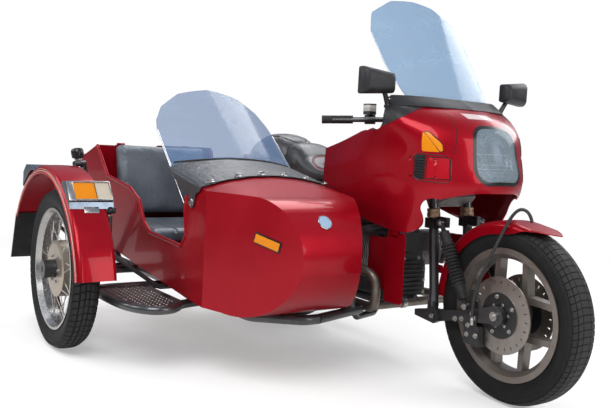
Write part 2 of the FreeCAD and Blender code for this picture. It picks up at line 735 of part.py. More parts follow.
def cushion(stations, bottom):
    """Padded shape through (forward, half width, top) stations on a flat base."""
    sections = []
    for x, wide, top in stations:
        rise = top - bottom
        flank = [(-wide, bottom), (-wide * 1.03, bottom + rise * 0.5), (-wide * 0.86, top - rise * 0.12),
                 (-wide * 0.45, top - rise * 0.015)]
        across = flank + [(0, top)] + [(-y, z) for y, z in reversed(flank)]
        sections.append([(x, y, z) for y, z in across])
    return loft(sections)


saddle = cushion([(562, 92, 800), (500, 122, 814), (400, 134, 800), (300, 136, 812), (210, 136, 860),
                  (130, 132, 915), (70, 126, 925), (34, 118, 885)], 744.4)
saddle = saddle.cut(frame)
pillion = cushion([(30, 112, 885), (0, 120, 930), (-60, 125, 958), (-140, 125, 965), (-230, 122, 948),
                   (-310, 112, 912), (-350, 100, 860)], 744.4)
node("saddle", shaped(Part.makeCompound([largest(saddle), pillion])))

rearArch = arch(trough(80, 330, 362, 3, 22), 18, 152)
rearArch.translate(Vec(0, 0, num(size["wheelRadius"])))
bridge = Part.makeBox(30, 40, 20, Vec(-75, -20, 689))
node("rear_fender", shaped(largest(joined(rearArch, bridge).cut(frame))))
tail = Part.makeBox(60, 190, 92, Vec(-412, -95, 744.4))
tail = tail.makeFillet(20, [e for e in tail.Edges if abs(e.tangentAt(e.FirstParameter).x) > 0.9])
tailBracket = Part.makeBox(30, 120, 24, Vec(-372, -60, 722))
node("tail_cowl", shaped(largest(joined(tail, tailBracket).cut(frame).cut(pillion))))
node("tail_lamp", box(-430, -80, 765, 17.7, 160, 50))

swing = [
    straightTube((455, 97, 402), (30, 97, 334), 20),
    straightTube((430, 0, 398), (430, 97, 398), 20),
]
swingEye = Part.makeCylinder(30, 24, Vec(0, 85, num(size["wheelRadius"])), Vec(0, 1, 0))
swing.append(swingEye)
swing.append(straightTube((30, 97, 334), (0, 97, 330), 20))
swingArm = joined(*swing, *[flipped(piece) for piece in swing])
swingArm = largest(swingArm.cut(frame).cut(nodes["engine_block"].Shape))
drive = joined(Part.makeCylinder(92, 22, Vec(0, -84, 330), Vec(0, 1, 0)),
               Part.makeCylinder(70, 52, Vec(0, -136, 330), Vec(0, 1, 0)))
drive = drive.makeFillet(8, [e for e in drive.Edges if abs(e.CenterOfMass.y + 136) < 1 and e.Length > 100])
bore = Part.makeCylinder(10.3, 400, Vec(0, -200, 330), Vec(0, 1, 0))
node("swingarm", shaped(joined(swingArm, drive).cut(bore)))
node("rear_axle", fuse(crossRod(size["axleRadius"], 290, 0, -145, size["wheelRadius"]),
                       crossRod(18, 10, 0, 117.4, size["wheelRadius"]),
                       crossRod(18, 10, 0, -146.3, size["wheelRadius"])))

absorber = joined(*[Part.makeCylinder(r, e - b, Vec(-10, 132, 372) + Vec(52, 0, 330).normalize() * b, Vec(52, 0, 330))
                    for r, b, e in ((9, 0, 334), (18, 20, 110), (27, 100, 270), (20, 262, 310))])
eyes = [Part.makeCylinder(14, 26, Vec(x, y, z), Vec(0, 1, 0)) for x, y, z in ((-10, 116, 372), (42, 116, 704))]
absorber = joined(absorber, *eyes)
ties = [Part.makeCylinder(8, 40, Vec(x, y, z), Vec(0, 1, 0)) for x, y, z in ((-10, 80, 372), (42, 90, 704))]
absorber = joined(absorber, *ties)
shocks = Part.makeCompound([absorber, flipped(absorber)])
shocks = shocks.cut(frame).cut(nodes["swingarm"].Shape).cut(nodes["rear_fender"].Shape)
node("rear_shocks", shaped(largest(shocks, 2)))
panel = prism(rounded([(250, 560), (290, 715), (470, 715), (470, 560)], 20), "y", 128, 134)
panelPost = Part.makeCylinder(7, 30, Vec(380, 101, 690), Vec(0, 1, 0))
sidePanel = joined(panel, Part.makeCylinder(7, 40, Vec(472, 94, 650), Vec(0, 1, 0)),
                   Part.makeBox(30, 6, 20, Vec(450, 128, 640)), Part.makeCylinder(7, 30, Vec(300, 104, 600), Vec(0, 1, 0)))
sidePanel = largest(sidePanel.cut(frame).cut(saddle))
node("side_panels", shaped(Part.makeCompound([sidePanel, flipped(sidePanel)])))


# ---- fairing ----

fairingLevels = (
    # height, then (forward, half width) from the rear edge round to the nose
    (560, ((585, 246), (800, 258), (1000, 264), (1130, 252), (1185, 205), (1210, 120), (1220, 0))),
    (690, ((588, 260), (800, 278), (1000, 286), (1150, 272), (1225, 228), (1288, 125), (1312, 0))),
    (790, ((595, 266), (800, 288), (1020, 298), (1170, 278), (1262, 232), (1340, 138), (1372, 0))),
    (900, ((605, 268), (800, 292), (1030, 306), (1185, 278), (1260, 226), (1322, 130), (1348, 0))),
    (1000, ((612, 264), (800, 294), (1025, 332), (1135, 318), (1222, 240), (1288, 130), (1312, 0))),
    (1060, ((616, 256), (800, 288), (1015, 332), (1085, 322), (1150, 250), (1206, 130), (1228, 0))),
    (1118, ((620, 246), (800, 276), (965, 304), (1030, 290), (1080, 238), (1106, 130), (1116, 0))),
)


def fairingSolid(grow):
    """Inside of the fairing's surface, moved out by an amount."""
    sections = []
    for level, (height, points) in enumerate(fairingLevels):
        rise = {0: -1, len(fairingLevels) - 1: 1}.get(level, 0) * max(-grow, 0) * 4
        flank = []
        for index, (x, wide) in enumerate(points):
            share = (0, 0, 0.1, 0.45, 0.75, 0.95, 1)[index]
            side = (1, 1, 1, 0.9, 0.66, 0.3, 0)[index]
            rear = -60 if index == 0 and grow < 0 else 0
            flank.append((x + grow * share + rear, wide + grow * side))
        across = [(x, w, height + rise) for x, w in flank]
        sections.append(across + [(x, -w, height + rise) for x, w in reversed(flank[:-1])])
    return loft(sections)


wallThick = num(size["fairingWall"])
skin = fairingSolid(0).cut(fairingSolid(-wallThick))
aboveEdge = prism([(540, 886), (625, 903), (760, 937), (905, 976), (985, 988), ((1040, 995), (1054, 1012)),
                   ((1056, 1040), (1052, 1070)), (1024, 1140), (540, 1140)], "y", -400, 400)
belowEdge = prism([(540, 745), (600, 728), (800, 645), ((1000, 604), (1095, 594)), (1135, 594),
                   ((1183, 628), (1196, 688)), ((1212, 722), (1262, 733)), (1345, 762), (1420, 768), (1420, 540),
                   (540, 540)], "y", -400, 400)
skin = skin.cut(aboveEdge).cut(belowEdge)
trimLine = prism([(935, 977), (965, 984), (1097, 1066), (1112, 1084), (1240, 1090), (1240, 1140),
                  (935, 1140)], "y", -400, 400)


def lampPrism(grow, start, end):
    """Rounded outline of the headlight, square to its glass."""
    solid = prism(rounded([(-132 - grow, -118 - grow), (132 + grow, -118 - grow), (113 + grow, 118 + grow),
                           (-113 - grow, 118 + grow)], 66 + grow), "x", start, end)
    solid.rotate(Vec(0, 0, 0), Vec(0, 1, 0), -17)
    solid.translate(Vec(1334, 0, 905))
    return solid


def sideWindow(points, grow, radius):
    """Outline seen from the side, through both flanks of the fairing."""
    middle = Vec(sum(x for x, z in points) / len(points), sum(z for x, z in points) / len(points), 0)
    moved = [(x + math.copysign(1, x - middle.x) * grow, z + math.copysign(1, z - middle.y) * grow)
             for x, z in points]
    return Part.makeCompound([prism(rounded(moved, radius), "y", start, start + 280) for start in (120, -400)])


ventPoints = [(1158, 812), (1252, 806), (1246, 884), (1158, 890)]
indicatorPoints = [(1206, 908), (1268, 908), (1262, 940), (1222, 982), (1206, 982)]
shell = skin.cut(lampPrism(0, -120, 120))
shell = shell.cut(sideWindow(ventPoints, 0, 8)).cut(sideWindow(indicatorPoints, 0, 8))
node("fairing", shaped(largest(shell.cut(trimLine))))

upperTrim = largest(shell.common(trimLine))
ledge = Part.makeBox(109, 660, 6, Vec(1026, -330, 1106)).common(fairingSolid(-2))
ledge = ledge.cut(prism([(980, -264), (1020, -256), (1062, -212), (1084, -110), (1084, 110), (1062, 212),
                         (1020, 256), (980, 264)], "z", 1100, 1120))
panelBoard = Part.makeBox(34, 700, 44, Vec(1062, -350, 1036)).common(fairingSolid(-4))
node("cockpit_trim", shaped(largest(joined(upperTrim, ledge, panelBoard).cut(nodes["fairing"].Shape))))

ring = skin.common(lampPrism(-0.3, -120, 120)).cut(lampPrism(-14, -160, 160))
housing = lampPrism(-9, -64, 60).cut(lampPrism(-13, -60, 70)).common(fairingSolid(-4.5))
node("headlight_housing", shaped(largest(joined(ring, housing))))
node("headlight_glass", shaped(largest(skin.common(lampPrism(-14.3, -120, 120)))))
node("fairing_indicators", shaped(largest(skin.common(sideWindow(indicatorPoints, -0.3, 8)), 2)))

lower = prism([(1130, 252), (1024, 252), (1010, 230), (892, 230), (892, 224), (1013, 224), (1027, 246), (1130, 246)],
              "z", 300, 600)
lower = lower.common(prism([(892, 380), ((920, 350), (960, 345)), (1000, 345), (1030, 308), (1116, 308),
                            ((1126, 312), (1130, 322)), (1128, 587), (1017, 587), (1000, 556), (892, 550)],
                           "y", 200, 300))
lug = Part.makeBox(40, 40, 16, Vec(1052, 246, 580)).cut(fairingSolid(0).cut(fairingSolid(-5)))
lug = largest(Part.makeBox(40, 12, 30, Vec(1052, 246, 575)).fuse(lug)).removeSplitter()
lower = joined(lower, lug).cut(skin)
vents = largest(skin.common(sideWindow(ventPoints, -0.3, 8)), 2)
node("leg_shields", shaped(Part.makeCompound([largest(lower), largest(flipped(lower))])))
node("fairing_vents", shaped(vents))

frame = joined(frame, *stays)
frame = frame.cut(skin).cut(nodes["headlight_housing"].Shape).cut(nodes["fuel_tank"].Shape)
frame = frame.cut(Part.makeCylinder(14.3, headLength + 40, headStart - steerAxis * 20, steerAxis))
node("main_frame", shaped(largest(frame)))


def bowed(radius, middle, thick, points, angle):
    """Clear screen: a patch of a tube whose axis leans back; points are (sideways, up the screen)."""
    low, high = min(s for y, s in points) - 20, max(s for y, s in points) + 20
    tube = Part.makeCylinder(radius, high - low, Vec(middle - radius, 0, low))
    tube = tube.cut(Part.makeCylinder(radius - thick, high - low, Vec(middle - radius, 0, low)))
    patch = tube.common(prism(rounded(points, 24), "x", middle - radius / 3, middle + 20))
    patch.rotate(Vec(0, 0, 0), Vec(0, 1, 0), angle)
    return patch


screen = bowed(820, 1536, 4, [(0, 286), (222, 284), (240, 384), (258, 480), (262, 660), (230, 747), (120, 808), (0, 818),
                              (-120, 808), (-230, 747), (-262, 660), (-258, 480), (-240, 384), (-222, 284)], -34.47)
screen = screen.cut(Part.makeBox(400, 900, 200, Vec(900, -450, 912.3)))
node("windshield", shaped(largest(screen.cut(nodes["cockpit_trim"].Shape).cut(nodes["fairing"].Shape))))

mirrorCase = Part.makeBox(54, 150, 100, Vec(1042, 308, 1122))
mirrorCase = mirrorCase.makeFillet(18, [e for e in mirrorCase.Edges if e.CenterOfMass.x > 1060])
mirror = joined(mirrorCase, straightTube((1062, 345, 1140), (1050, 312, 1076), 10)).cut(skin)
mirror = largest(mirror.cut(fairingSolid(-4)))
node("mirrors", shaped(Part.makeCompound([mirror, flipped(mirror)])))


# ---- sidecar body ----

middle = -num(size["bodyCentre"])
right, left = middle - num(size["bodyHalf"]), middle + num(size["bodyHalf"])
wall = num(size["bodyWall"])


def hull(grow):
    """Body outline pushed out by an amount, nose cheeks tapered, flank hollowed beside the cylinder."""
    outline2d = wireOf([lift(p, "y", 0) for p in [
        (-430, 852), (-600, 800), ((-662, 768), (-668, 700)), (-640, 480), ((-608, 418), (-520, 400)),
        (-100, 362), (61, 345), (637, 290), (860, 276), ((1060, 318), (1160, 455)), ((1138, 612), (985, 715)),
        (780, 766), (500, 810), (-400, 862)]])
    if grow:
        outline2d = outline2d.makeOffset2D(grow)
    solid = Part.Face(outline2d).extrude(Vec(0, right - left - 2 * grow, 0))
    solid.translate(Vec(0, left + grow, 0))
    reach = 420
    for sign in (1, -1):
        edge = right - grow if sign > 0 else left + grow
        cheek = prism([(780, edge), (780 + reach, edge + sign * reach * 0.475), (780 + reach, edge - sign * 60),
                       (780, edge - sign * 60)], "z", 200, 900)
        solid = solid.cut(cheek)
    recess = prism(rounded([(535 + grow, 372 + grow), (1100, 372 + grow), (1100, 572 - grow),
                            (535 + grow, 572 - grow)], 40), "y", left - 82 - grow, left + 30)
    solid = solid.cut(recess)
    crown = Part.Face(wireOf([(-200, right - 60, 838 + grow), ((-200, middle, 906 + grow), (-200, left + 60, 838 + grow)),
                              (-200, left + 60, 1300), (-200, right - 60, 1300)]))
    return solid.cut(crown.extrude(Vec(1540, 0, -220)))


bodySkin = hull(0).cut(hull(-wall))
rightRim = [(-430, 849), (-271, 709), (24, 671), (134, 625), (200, 534), (269, 499), (579, 484), (619, 533),
            (600, 636), (612, 689), (640, 724), (690, 724)]
leftRim = [(-400, 852), (-380, 800), (300, 750), (690, 718)]
bodySkin = bodySkin.cut(prism(rightRim + [(690, 1000), (-430, 1000)], "y", right - 20, middle))
bodySkin = bodySkin.cut(prism(leftRim + [(690, 1000), (-400, 1000)], "y", middle - 1, left + 20))
lidSpace = Part.makeBox(300, left - right - 64, 300, Vec(-747, right + 32, 640))
lidInside = Part.makeBox(300, left - right - 68, 300, Vec(-749, right + 34, 642))
bulkhead = prism([(-405, 300), (-400, 300), (-400, 846), (-405, 846)], "y", right - 2, left + 2).common(hull(-wall + 1))
seatBase = prism([(-330, 300), (200, 300), (200, 430), (-330, 430)], "y", right + 30, left - 34).common(hull(-wall + 1))
beadPath = [(-430, 849), (-271, 709), (24, 671), (134, 625), (200, 534), (269, 499), (579, 484), (619, 533),
            (600, 636), (610, 686)]
bead = bentTube([(x, right + 2.5, z) for x, z in beadPath], 8, 14)
beadLeft = bentTube([(x, left - 2.5, z) for x, z in [(-393, 848), (-380, 800), (300, 750), (690, 718)]], 8, 16)
tub = joined(bodySkin.cut(lidSpace), bulkhead, seatBase, bead, beadLeft)
node("sidecar_body", shaped(largest(tub)))
bootLid = largest(bodySkin.common(lidInside))
hingeAt = (-446, 859)
barrels = [straightTube((hingeAt[0], y, hingeAt[1]), (hingeAt[0], y + 40, hingeAt[1]), 6) for y in (-820, -456)]
lugs = [Part.makeBox(26, 40, 10, Vec(hingeAt[0] - 24, y, 845)) for y in (-820, -456)]
node("boot_lid", shaped(largest(joined(bootLid, *barrels, *lugs).cut(nodes["sidecar_body"].Shape))))


def padded(x, y, z, length, width, height, radius):
    block = Part.makeBox(length, width, height, Vec(x, y, z))
    return block.makeFillet(radius, [e for e in block.Edges if e.CenterOfMass.z > z + 1])


seatPad = padded(-322, right + 34, 430.3, 516, left - right - 76, 70, 26)
seatRest = padded(-42, 0, 0, 84, 502, 372, 26)
seatRest.rotate(Vec(0, 0, 0), Vec(0, 1, 0), -9)
seatRest.translate(Vec(-318, right + 68, 501))
seatRest = seatRest.cut(Part.makeBox(200, 700, 80, Vec(-500, right, 420.6))).cut(nodes["sidecar_body"].Shape)
node("side_seat", shaped(Part.makeCompound([seatPad, largest(seatRest.cut(seatPad))])))

coverArc = [(440, right - 4.3, 785), ((440, middle, 834), (440, left + 4.3, 785)),
            (440, left + 4.3, 781.3), ((440, middle, 830.3), (440, right - 4.3, 781.3))]
cover = Part.Face(wireOf(coverArc)).extrude(Vec(305, 0, -58))
flap = prism([(480, 776), (744, 726), (735, 712), (700, 700), (690, 650), ((667, 640), (650, 660)), (640, 700),
              (560, 700)], "y", right - 4.3, right - 0.3)
edgeStrip = prism([(480, 776), (744, 726), (738, 721), (700, 730), (480, 752)], "y", left + 0.3, left + 4.3)
node("apron", shaped(joined(cover, flap, edgeStrip)))

sideScreen = bowed(661, 942, 4, [(300, -60), (300, -23), (290, 430), (278, 486), (242, 555), (150, 620), (0, 645),
                                 (-150, 620), (-242, 555), (-278, 486), (-290, 430), (-300, -23), (-300, -60)], -48.85)
sideScreen.translate(Vec(0, middle, 0))
above = Part.Face(wireOf([(440, right - 60, 771), ((440, middle, 834.3), (440, left + 60, 771)), (440, left + 60, 1400),
                          (440, right - 60, 1400)])).extrude(Vec(400, 0, -80))
above = above.fuse(Part.makeBox(740, 800, 900, Vec(-300, middle - 400, 600)))
node("side_windscreen", shaped(largest(sideScreen.common(above).cut(nodes["apron"].Shape))))


# ---- sidecar frame, step and suspension ----

tube = num(size["frameTube"])
railRight, railLeft, railHeight = right + 150, left + 16, 256.5
sideAxle = Vec(num(size["sideLead"]), -num(size["sideTrack"]), num(size["sideRadius"]))
fenderSide = -1155.7
leftRail = Part.makeCylinder(tube, 1230, Vec(-300, railLeft, railHeight), Vec(1, 0, 0))
leftRail.rotate(Vec(0, railLeft, railHeight), Vec(1, 0, 0), 37)
rails = [
    leftRail,
    bentTube([(-560, railRight, 330), (-470, railRight, railHeight), (880, railRight, railHeight),
              (1010, middle, railHeight), (1010, middle + 60, railHeight)], tube, 60),
    straightTube((-200, -1160, railHeight), (-200, railLeft, railHeight), tube),
    straightTube((120, railRight, railHeight), (120, railLeft, railHeight), tube),
    straightTube((700, railRight, railHeight), (700, railLeft, railHeight), tube),
    straightTube((1010, middle + 60, railHeight), (930, railLeft, railHeight), tube),
    bentTube([(880, railLeft, 250), (862, -250, 205), (822, -125, 205), (815, -95, 240)], 14, 24),
    bentTube([(380, railLeft, 250), (388, -250, 205), (426, -125, 205), (440, -95, 240)], 14, 24),
    bentTube([(944, -345, 262), (940, -345, 578), (838, -86, 585)], 14, 50),
    bentTube([(-60, railLeft - 1, 262), (-60, railLeft - 1, 560), (180, -95, 725)], 12, 60),
    straightTube((-200, -945, 258), (-110, -1105, 770), 15),
    straightTube((-110, -1095, 770), (-90, -1150, 766), 13),
    bentTube([(400, railRight, 270), (400, railRight - 50, 286), (400, right - 5, 286), (400, fenderSide, 440),
              (400, fenderSide, 585)], 9, 30),
    bentTube([(-300, railRight, 262), (-300, right - 5, 262), (-352, fenderSide, 480), (-352, fenderSide, 562)], 9, 30),
]
rails += [straightTube((x, y, railHeight), (x, y, 420), 11) for x in (120, 700) for y in (railRight, railLeft - 60)]
chassis = joined(*rails)
doc.recompute()


def fenderPart(width, low, high, first, last):
    shell = arch(trough(width, low, high, 3, 22), first, last)
    shell.translate(Vec(35, -1243.5, 250))
    return shell


fenderShell = fenderPart(78.5, 478, 515, 11.5, 149)
chassis = chassis.cut(fenderShell).cut(nodes["sidecar_body"].Shape).cut(nodes["saddle"].Shape)
for other in ("main_frame", "engine_block", "exhaust_system", "swingarm", "cylinders", "side_panels", "carburettors"):
    chassis = chassis.cut(nodes[other].Shape)
node("sidecar_frame", shaped(largest(chassis)))
mudFlap = prism([(-402, 512), (-397, 515), (-472, 292), (-478, 292)], "y", -1320, -1167).cut(fenderShell)
node("side_fender", shaped(fenderShell))
node("mud_flap", shaped(largest(mudFlap)))

lampFront = prism([(331, 714), (395, 640), (400, 614), ((345, 661.5), (285, 700)), (292, 714)], "y", -1318, -1142)
lampRear = prism([(-176, 752), (-240, 752), (-286, 716), (-290, 622), ((-232, 690), (-150, 731))], "y", -1320, -1170)
crownSolid = Part.makeCylinder(515.2, 400, Vec(35, -1400, 250), Vec(0, 1, 0))
lampFront, lampRear = lampFront.cut(crownSolid), lampRear.cut(crownSolid)
frontLens = prism([(337.6, 706.8), (390.1, 646.1), (395.4, 650.7), (342.9, 711.4)], "y", -1312, -1148)
rearLens = prism([(-286.2, 714), (-290, 628), (-296, 628), (-292.2, 714)], "y", -1314, -1176).cut(crownSolid)
node("side_lamps", shaped(Part.makeCompound([lampFront, lampRear])))
cheek = math.degrees(math.atan(0.475))
reflector = Part.makeBox(104, 6, 30, Vec(0, -6.2, -15))
reflector.Placement = Place(Vec(985, right + 205 * 0.475, 570), Rot(Vec(0, 0, 1), cheek).multiply(Rot(Vec(0, 1, 0), 14)))
node("side_lenses", shaped(Part.makeCompound([frontLens, rearLens,
                                              largest(reflector.cut(nodes["sidecar_body"].Shape))])))

stepBar = bentTube([(604, railRight, 262), (604, right + 20, 262), (690, -1010, 262), (672, -1092, 262),
                    (560, -1150, 262), (300, -1162, 262), (230, -1120, 262), (230, railRight, 262)],
                   num(size["stepTube"]), 44)
plate = prism([(232, right + 14), (603, right + 14), (674, -1010), (656, -1086), (556, -1140), (302, -1152),
               (232, -1112)], "z", 265, 269)
node("footboard", shaped(largest(joined(stepBar, plate).cut(nodes["sidecar_frame"].Shape))))

trail = [
    straightTube((-180, -1142, railHeight), (-180, -1110, railHeight), 27),
    straightTube((-180, -1128, railHeight), (100, -1128, 330), 18),
    straightTube((sideAxle.x, -1146, sideAxle.z), (sideAxle.x, -1108, sideAxle.z), 28),
    straightTube((sideAxle.x, -1330, sideAxle.z), (sideAxle.x, -1108, sideAxle.z), 14),
    straightTube((sideAxle.x, -1215.7, sideAxle.z), (sideAxle.x, -1140, sideAxle.z), 20),
    Part.makeBox(30, 20, 66, Vec(132, -1140, 256)),
    straightTube((60, -1128, 325), (60, -1090, 345), 9),
]
lever = joined(*trail).cut(nodes["sidecar_frame"].Shape)
node("side_swingarm", shaped(largest(lever)))
damper = joined(*[Part.makeCylinder(r, e - b, Vec(60, -1098, 345) + Vec(-150, -22, 415).normalize() * b, Vec(-150, -22, 415))
                  for r, b, e in ((9, 0, 430), (17, 20, 150), (29, 120, 330), (19, 320, 410))])
damper = damper.cut(nodes["sidecar_frame"].Shape).cut(nodes["side_swingarm"].Shape)
node("side_shock", shaped(largest(damper)))


# ---- sidecar wheel, drawn at the origin ----

sideHalf, drum = size["sideRimHalf"], size["sideHubRadius"]
flange, seat = size["sideFlange"], size["sideSeat"]
node("side_rim", turned([
    (-sideHalf, flange), (-sideHalf, flange - 10), (-24, flange - 22), (24, flange - 22), (sideHalf, flange - 10),
    (sideHalf, flange), (sideHalf - 5, flange), (sideHalf - 7, seat), (22, seat - 1), (15, flange - 19),
    (-15, flange - 19), (-22, seat - 1), (-sideHalf + 7, seat), (-sideHalf + 5, flange)]))
node("side_tyre", tyre(size["sideTyreWidth"], size["sideRadius"], flange, seat, sideHalf))
node("side_hub", turned([(-85, 14.4), (35, 14.4), (35, drum - 14), (31, drum), (-31, drum), (-35, drum - 13),
                         (-35, 38), (-85, 38)]))
spokes = []
for index in range(36):
    side = 1 if index % 2 else -1
    lean = 14 if index % 4 < 2 else -14
    hubAngle, rimAngle = math.radians(index * 10), math.radians(index * 10 + lean)
    near, far = (30, 9) if lean > 0 else (23, 3)
    start = Vec(114 * math.cos(hubAngle), side * near, 114 * math.sin(hubAngle))
    end = Vec(230.8 * math.cos(rimAngle), side * far, 230.8 * math.sin(rimAngle))
    spokes.append(Part.makeCylinder(1.9, (end - start).Length, start, end - start))
drumSpace = Part.makeCylinder(num(drum) + 0.2, 100, Vec(0, -50, 0), Vec(0, 1, 0))
node("side_spokes", shaped(Part.makeCompound(spokes).cut(drumSpace)))
sideWheel = ("side_rim", "side_tyre", "side_hub", "side_spokes")


# ---- place everything in the shared frame and write the files ----

steerTurn = Place(Vec(), Rot(steerAxis, num(size["restSteer"])), Vec(steerFoot, 0, 0))
spokesSlanted = Place(Vec(), Rot(Vec(0, 1, 0), 45))


def placed(name):
    """Where a piece goes, from where it was drawn, before the origin is moved."""
    spin = spokesSlanted if name.endswith("_rim") else Place()
    if name in frontWheel:
        return steerTurn.multiply(Place(Vec(*atWheel(0)), Rot())).multiply(spin)
    if name in steering:
        return steerTurn
    if name in rearWheel:
        return Place(Vec(0, 0, num(size["wheelRadius"])), Rot()).multiply(spin)
    if name in sideWheel:
        return Place(sideAxle, Rot())
    return Place()


doc.recompute()
reach = FreeCAD.BoundBox()
for name, item in nodes.items():
    for letter in "xyz":
        item.setExpression("Placement.Base." + letter, None)
    item.Placement = placed(name).multiply(item.Placement)
    for corner in item.Shape.tessellate(1.0)[0]:
        reach.add(corner)
shift = Vec(reach.Center.x, reach.Center.y, reach.ZMin)
for item in nodes.values():
    item.Placement = Place(-shift, Rot()).multiply(item.Placement)
doc.recompute()

for item in doc.Objects:
    if "Invalid" in item.State or "Error" in item.State:
        raise RuntimeError("%s did not build" % item.Label)
os.makedirs("parts", exist_ok=True)
for name, item in nodes.items():
    if item.Shape.isNull() or not item.Shape.isValid():
        raise RuntimeError("%s has no sound shape" % name)
    item.Shape.exportStep("parts/%s.step" % name)
print("origin moved by", round(shift.x, 3), round(shift.y, 3), round(shift.z, 3), "pieces", len(nodes))
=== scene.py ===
import json
import math

import bmesh
import bpy
from mathutils import Matrix, Vector, noise as fractal
from mathutils.bvhtree import BVHTree
from mathutils.kdtree import KDTree


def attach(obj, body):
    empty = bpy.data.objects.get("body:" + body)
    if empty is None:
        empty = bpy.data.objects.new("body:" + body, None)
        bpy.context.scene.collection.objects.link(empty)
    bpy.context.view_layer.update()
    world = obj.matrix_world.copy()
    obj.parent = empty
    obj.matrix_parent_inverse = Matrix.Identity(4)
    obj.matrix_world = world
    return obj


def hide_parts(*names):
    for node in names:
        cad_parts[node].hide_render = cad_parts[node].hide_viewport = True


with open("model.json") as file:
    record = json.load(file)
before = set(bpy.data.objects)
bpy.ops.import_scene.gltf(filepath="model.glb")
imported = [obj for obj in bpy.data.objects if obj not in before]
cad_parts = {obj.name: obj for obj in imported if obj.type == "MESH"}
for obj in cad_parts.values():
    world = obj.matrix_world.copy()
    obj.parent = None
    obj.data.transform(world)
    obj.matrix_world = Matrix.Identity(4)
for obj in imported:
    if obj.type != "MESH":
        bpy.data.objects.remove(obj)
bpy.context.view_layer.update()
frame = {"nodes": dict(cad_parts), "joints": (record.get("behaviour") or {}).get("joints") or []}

print("frame loaded")


def jointOf(name):
    found = [joint for joint in frame["joints"] if joint["name"] == name][0]
    return Vector(found["pos_m"]), Vector(found["axis"]).normalized()


frontCentre, frontAxis = jointOf("front_wheel_spin")
rearCentre, rearAxis = jointOf("rear_wheel_spin")
sideCentre, sideAxis = jointOf("sidecar_wheel_spin")
steerFoot, steerAxis = jointOf("steer")
drawnOrigin = rearCentre - Vector((0, 0, 0.33))  # on the ground under the rear axle, middle of the motorcycle


def at(x, y, z):
    # a place in millimetres from the drawing's origin, in the frame
    return drawnOrigin + Vector((x, y, z)) / 1000


def moved(x, y, z):
    # shift to a place given in millimetres
    return Matrix.Translation(at(x, y, z))


def linked(name, data):
    thing = bpy.data.objects.new(name, data)
    bpy.context.scene.collection.objects.link(thing)
    return thing


# the fork parts are placed straight ahead, then turned with the bars as they stand
restSteer = math.radians(-3.8)
steerTurn = Matrix.Translation(steerFoot) @ Matrix.Rotation(restSteer, 4, steerAxis) @ Matrix.Translation(-steerFoot)
sides = (("Right", -1), ("Left", 1))

view = {"place": (3243, -2204, 911), "yaw": 145.49, "pitch": -4.26, "roll": 3.12,
        "lens": 43.95, "shiftX": 0.0090, "shiftY": -0.0075}


def addCamera():
    yaw, pitch, roll = (math.radians(view[name]) for name in ("yaw", "pitch", "roll"))
    ahead = Vector((math.cos(pitch) * math.cos(yaw), math.cos(pitch) * math.sin(yaw), math.sin(pitch)))
    level = Vector((ahead.y, -ahead.x, 0)).normalized()
    upright = level.cross(ahead)
    across = level * math.cos(roll) + upright * math.sin(roll)
    above = upright * math.cos(roll) - level * math.sin(roll)
    turn = Matrix((across, above, -ahead)).transposed().to_4x4()
    camera = bpy.data.cameras.new("camera")
    camera.lens = view["lens"]
    camera.shift_x, camera.shift_y = view["shiftX"], view["shiftY"]
    holder = linked("camera", camera)
    holder.matrix_world = moved(*view["place"]) @ turn
    bpy.context.scene.camera = holder


addCamera()
bpy.context.scene.view_settings.view_transform = "Standard"


class Wire:
    # one output of a shader node, with arithmetic that adds Math nodes
    def __init__(self, tree, socket=None):
        self.tree, self.socket = tree, socket

    def node(self, kind, settings=None, sockets=None, out=0):
        made = self.tree.nodes.new("ShaderNode" + kind)
        for name, value in (settings or {}).items():
            if name == "stops":
                elements = made.color_ramp.elements
                elements[0].position, elements[0].color = value[0]
                elements[1].position, elements[1].color = value[-1]
                for place, colour in value[1:-1]:
                    elements.new(place).color = colour
            else:
                setattr(made, name, value)
        for name, value in (sockets or {}).items():
            if isinstance(value, Wire):
                self.tree.links.new(value.socket, made.inputs[name])
            else:
                made.inputs[name].default_value = value
        return Wire(self.tree, made.outputs[out])

    def maths(self, operation, first, second=0.0):
        return self.node("Math", {"operation": operation}, {0: first, 1: second})

    def __add__(self, other):
        return self.maths("ADD", self, other)

    def __radd__(self, other):
        return self.maths("ADD", other, self)

    def __sub__(self, other):
        return self.maths("SUBTRACT", self, other)

    def __rsub__(self, other):
        return self.maths("SUBTRACT", other, self)

    def __mul__(self, other):
        return self.maths("MULTIPLY", self, other)

    def __rmul__(self, other):
        return self.maths("MULTIPLY", other, self)

    def __pow__(self, other):
        return self.maths("POWER", self, other)

    def clamped(self):
        return self.node("Clamp", None, {"Value": self})

    def past(self, edge, soft):
        # nothing below the edge, one above it, over a soft width; a negative width turns it round
        return ((self - edge) * (1 / soft)).clamped()

    def blend(self, first, second):
        # colour mix of two colours with this value as the factor
        made = self.node("Mix", {"data_type": "RGBA"}, {"Factor": self}, out=2)
        mixer = made.socket.node
        for index, colour in ((6, first), (7, second)):
            if isinstance(colour, Wire):
                self.tree.links.new(colour.socket, mixer.inputs[index])
            else:
                mixer.inputs[index].default_value = tuple(colour) + (1.0,) * (4 - len(colour))
        return made


def newMaterial(name):
    made = bpy.data.materials.new(name)
    made.use_nodes = True
    made.node_tree.nodes.clear()
    return made, Wire(made.node_tree)


def close(start, shader, kind="Material"):
    output = start.tree.nodes.new("ShaderNodeOutput" + kind)
    start.tree.links.new(shader.socket, output.inputs["Surface"])


def positions(start, centre=(0, 0, 0), scale=(1, 1, 1), turn=(0, 0, 0)):
    # object coordinates, moved so that a pattern is centred where it belongs
    place = start.node("TexCoord", out=3)
    shifted = start.node("VectorMath", {"operation": "SUBTRACT"}, {0: place, 1: tuple(centre)})
    return start.node("Mapping", None, {"Vector": shifted, "Rotation": turn, "Scale": scale})


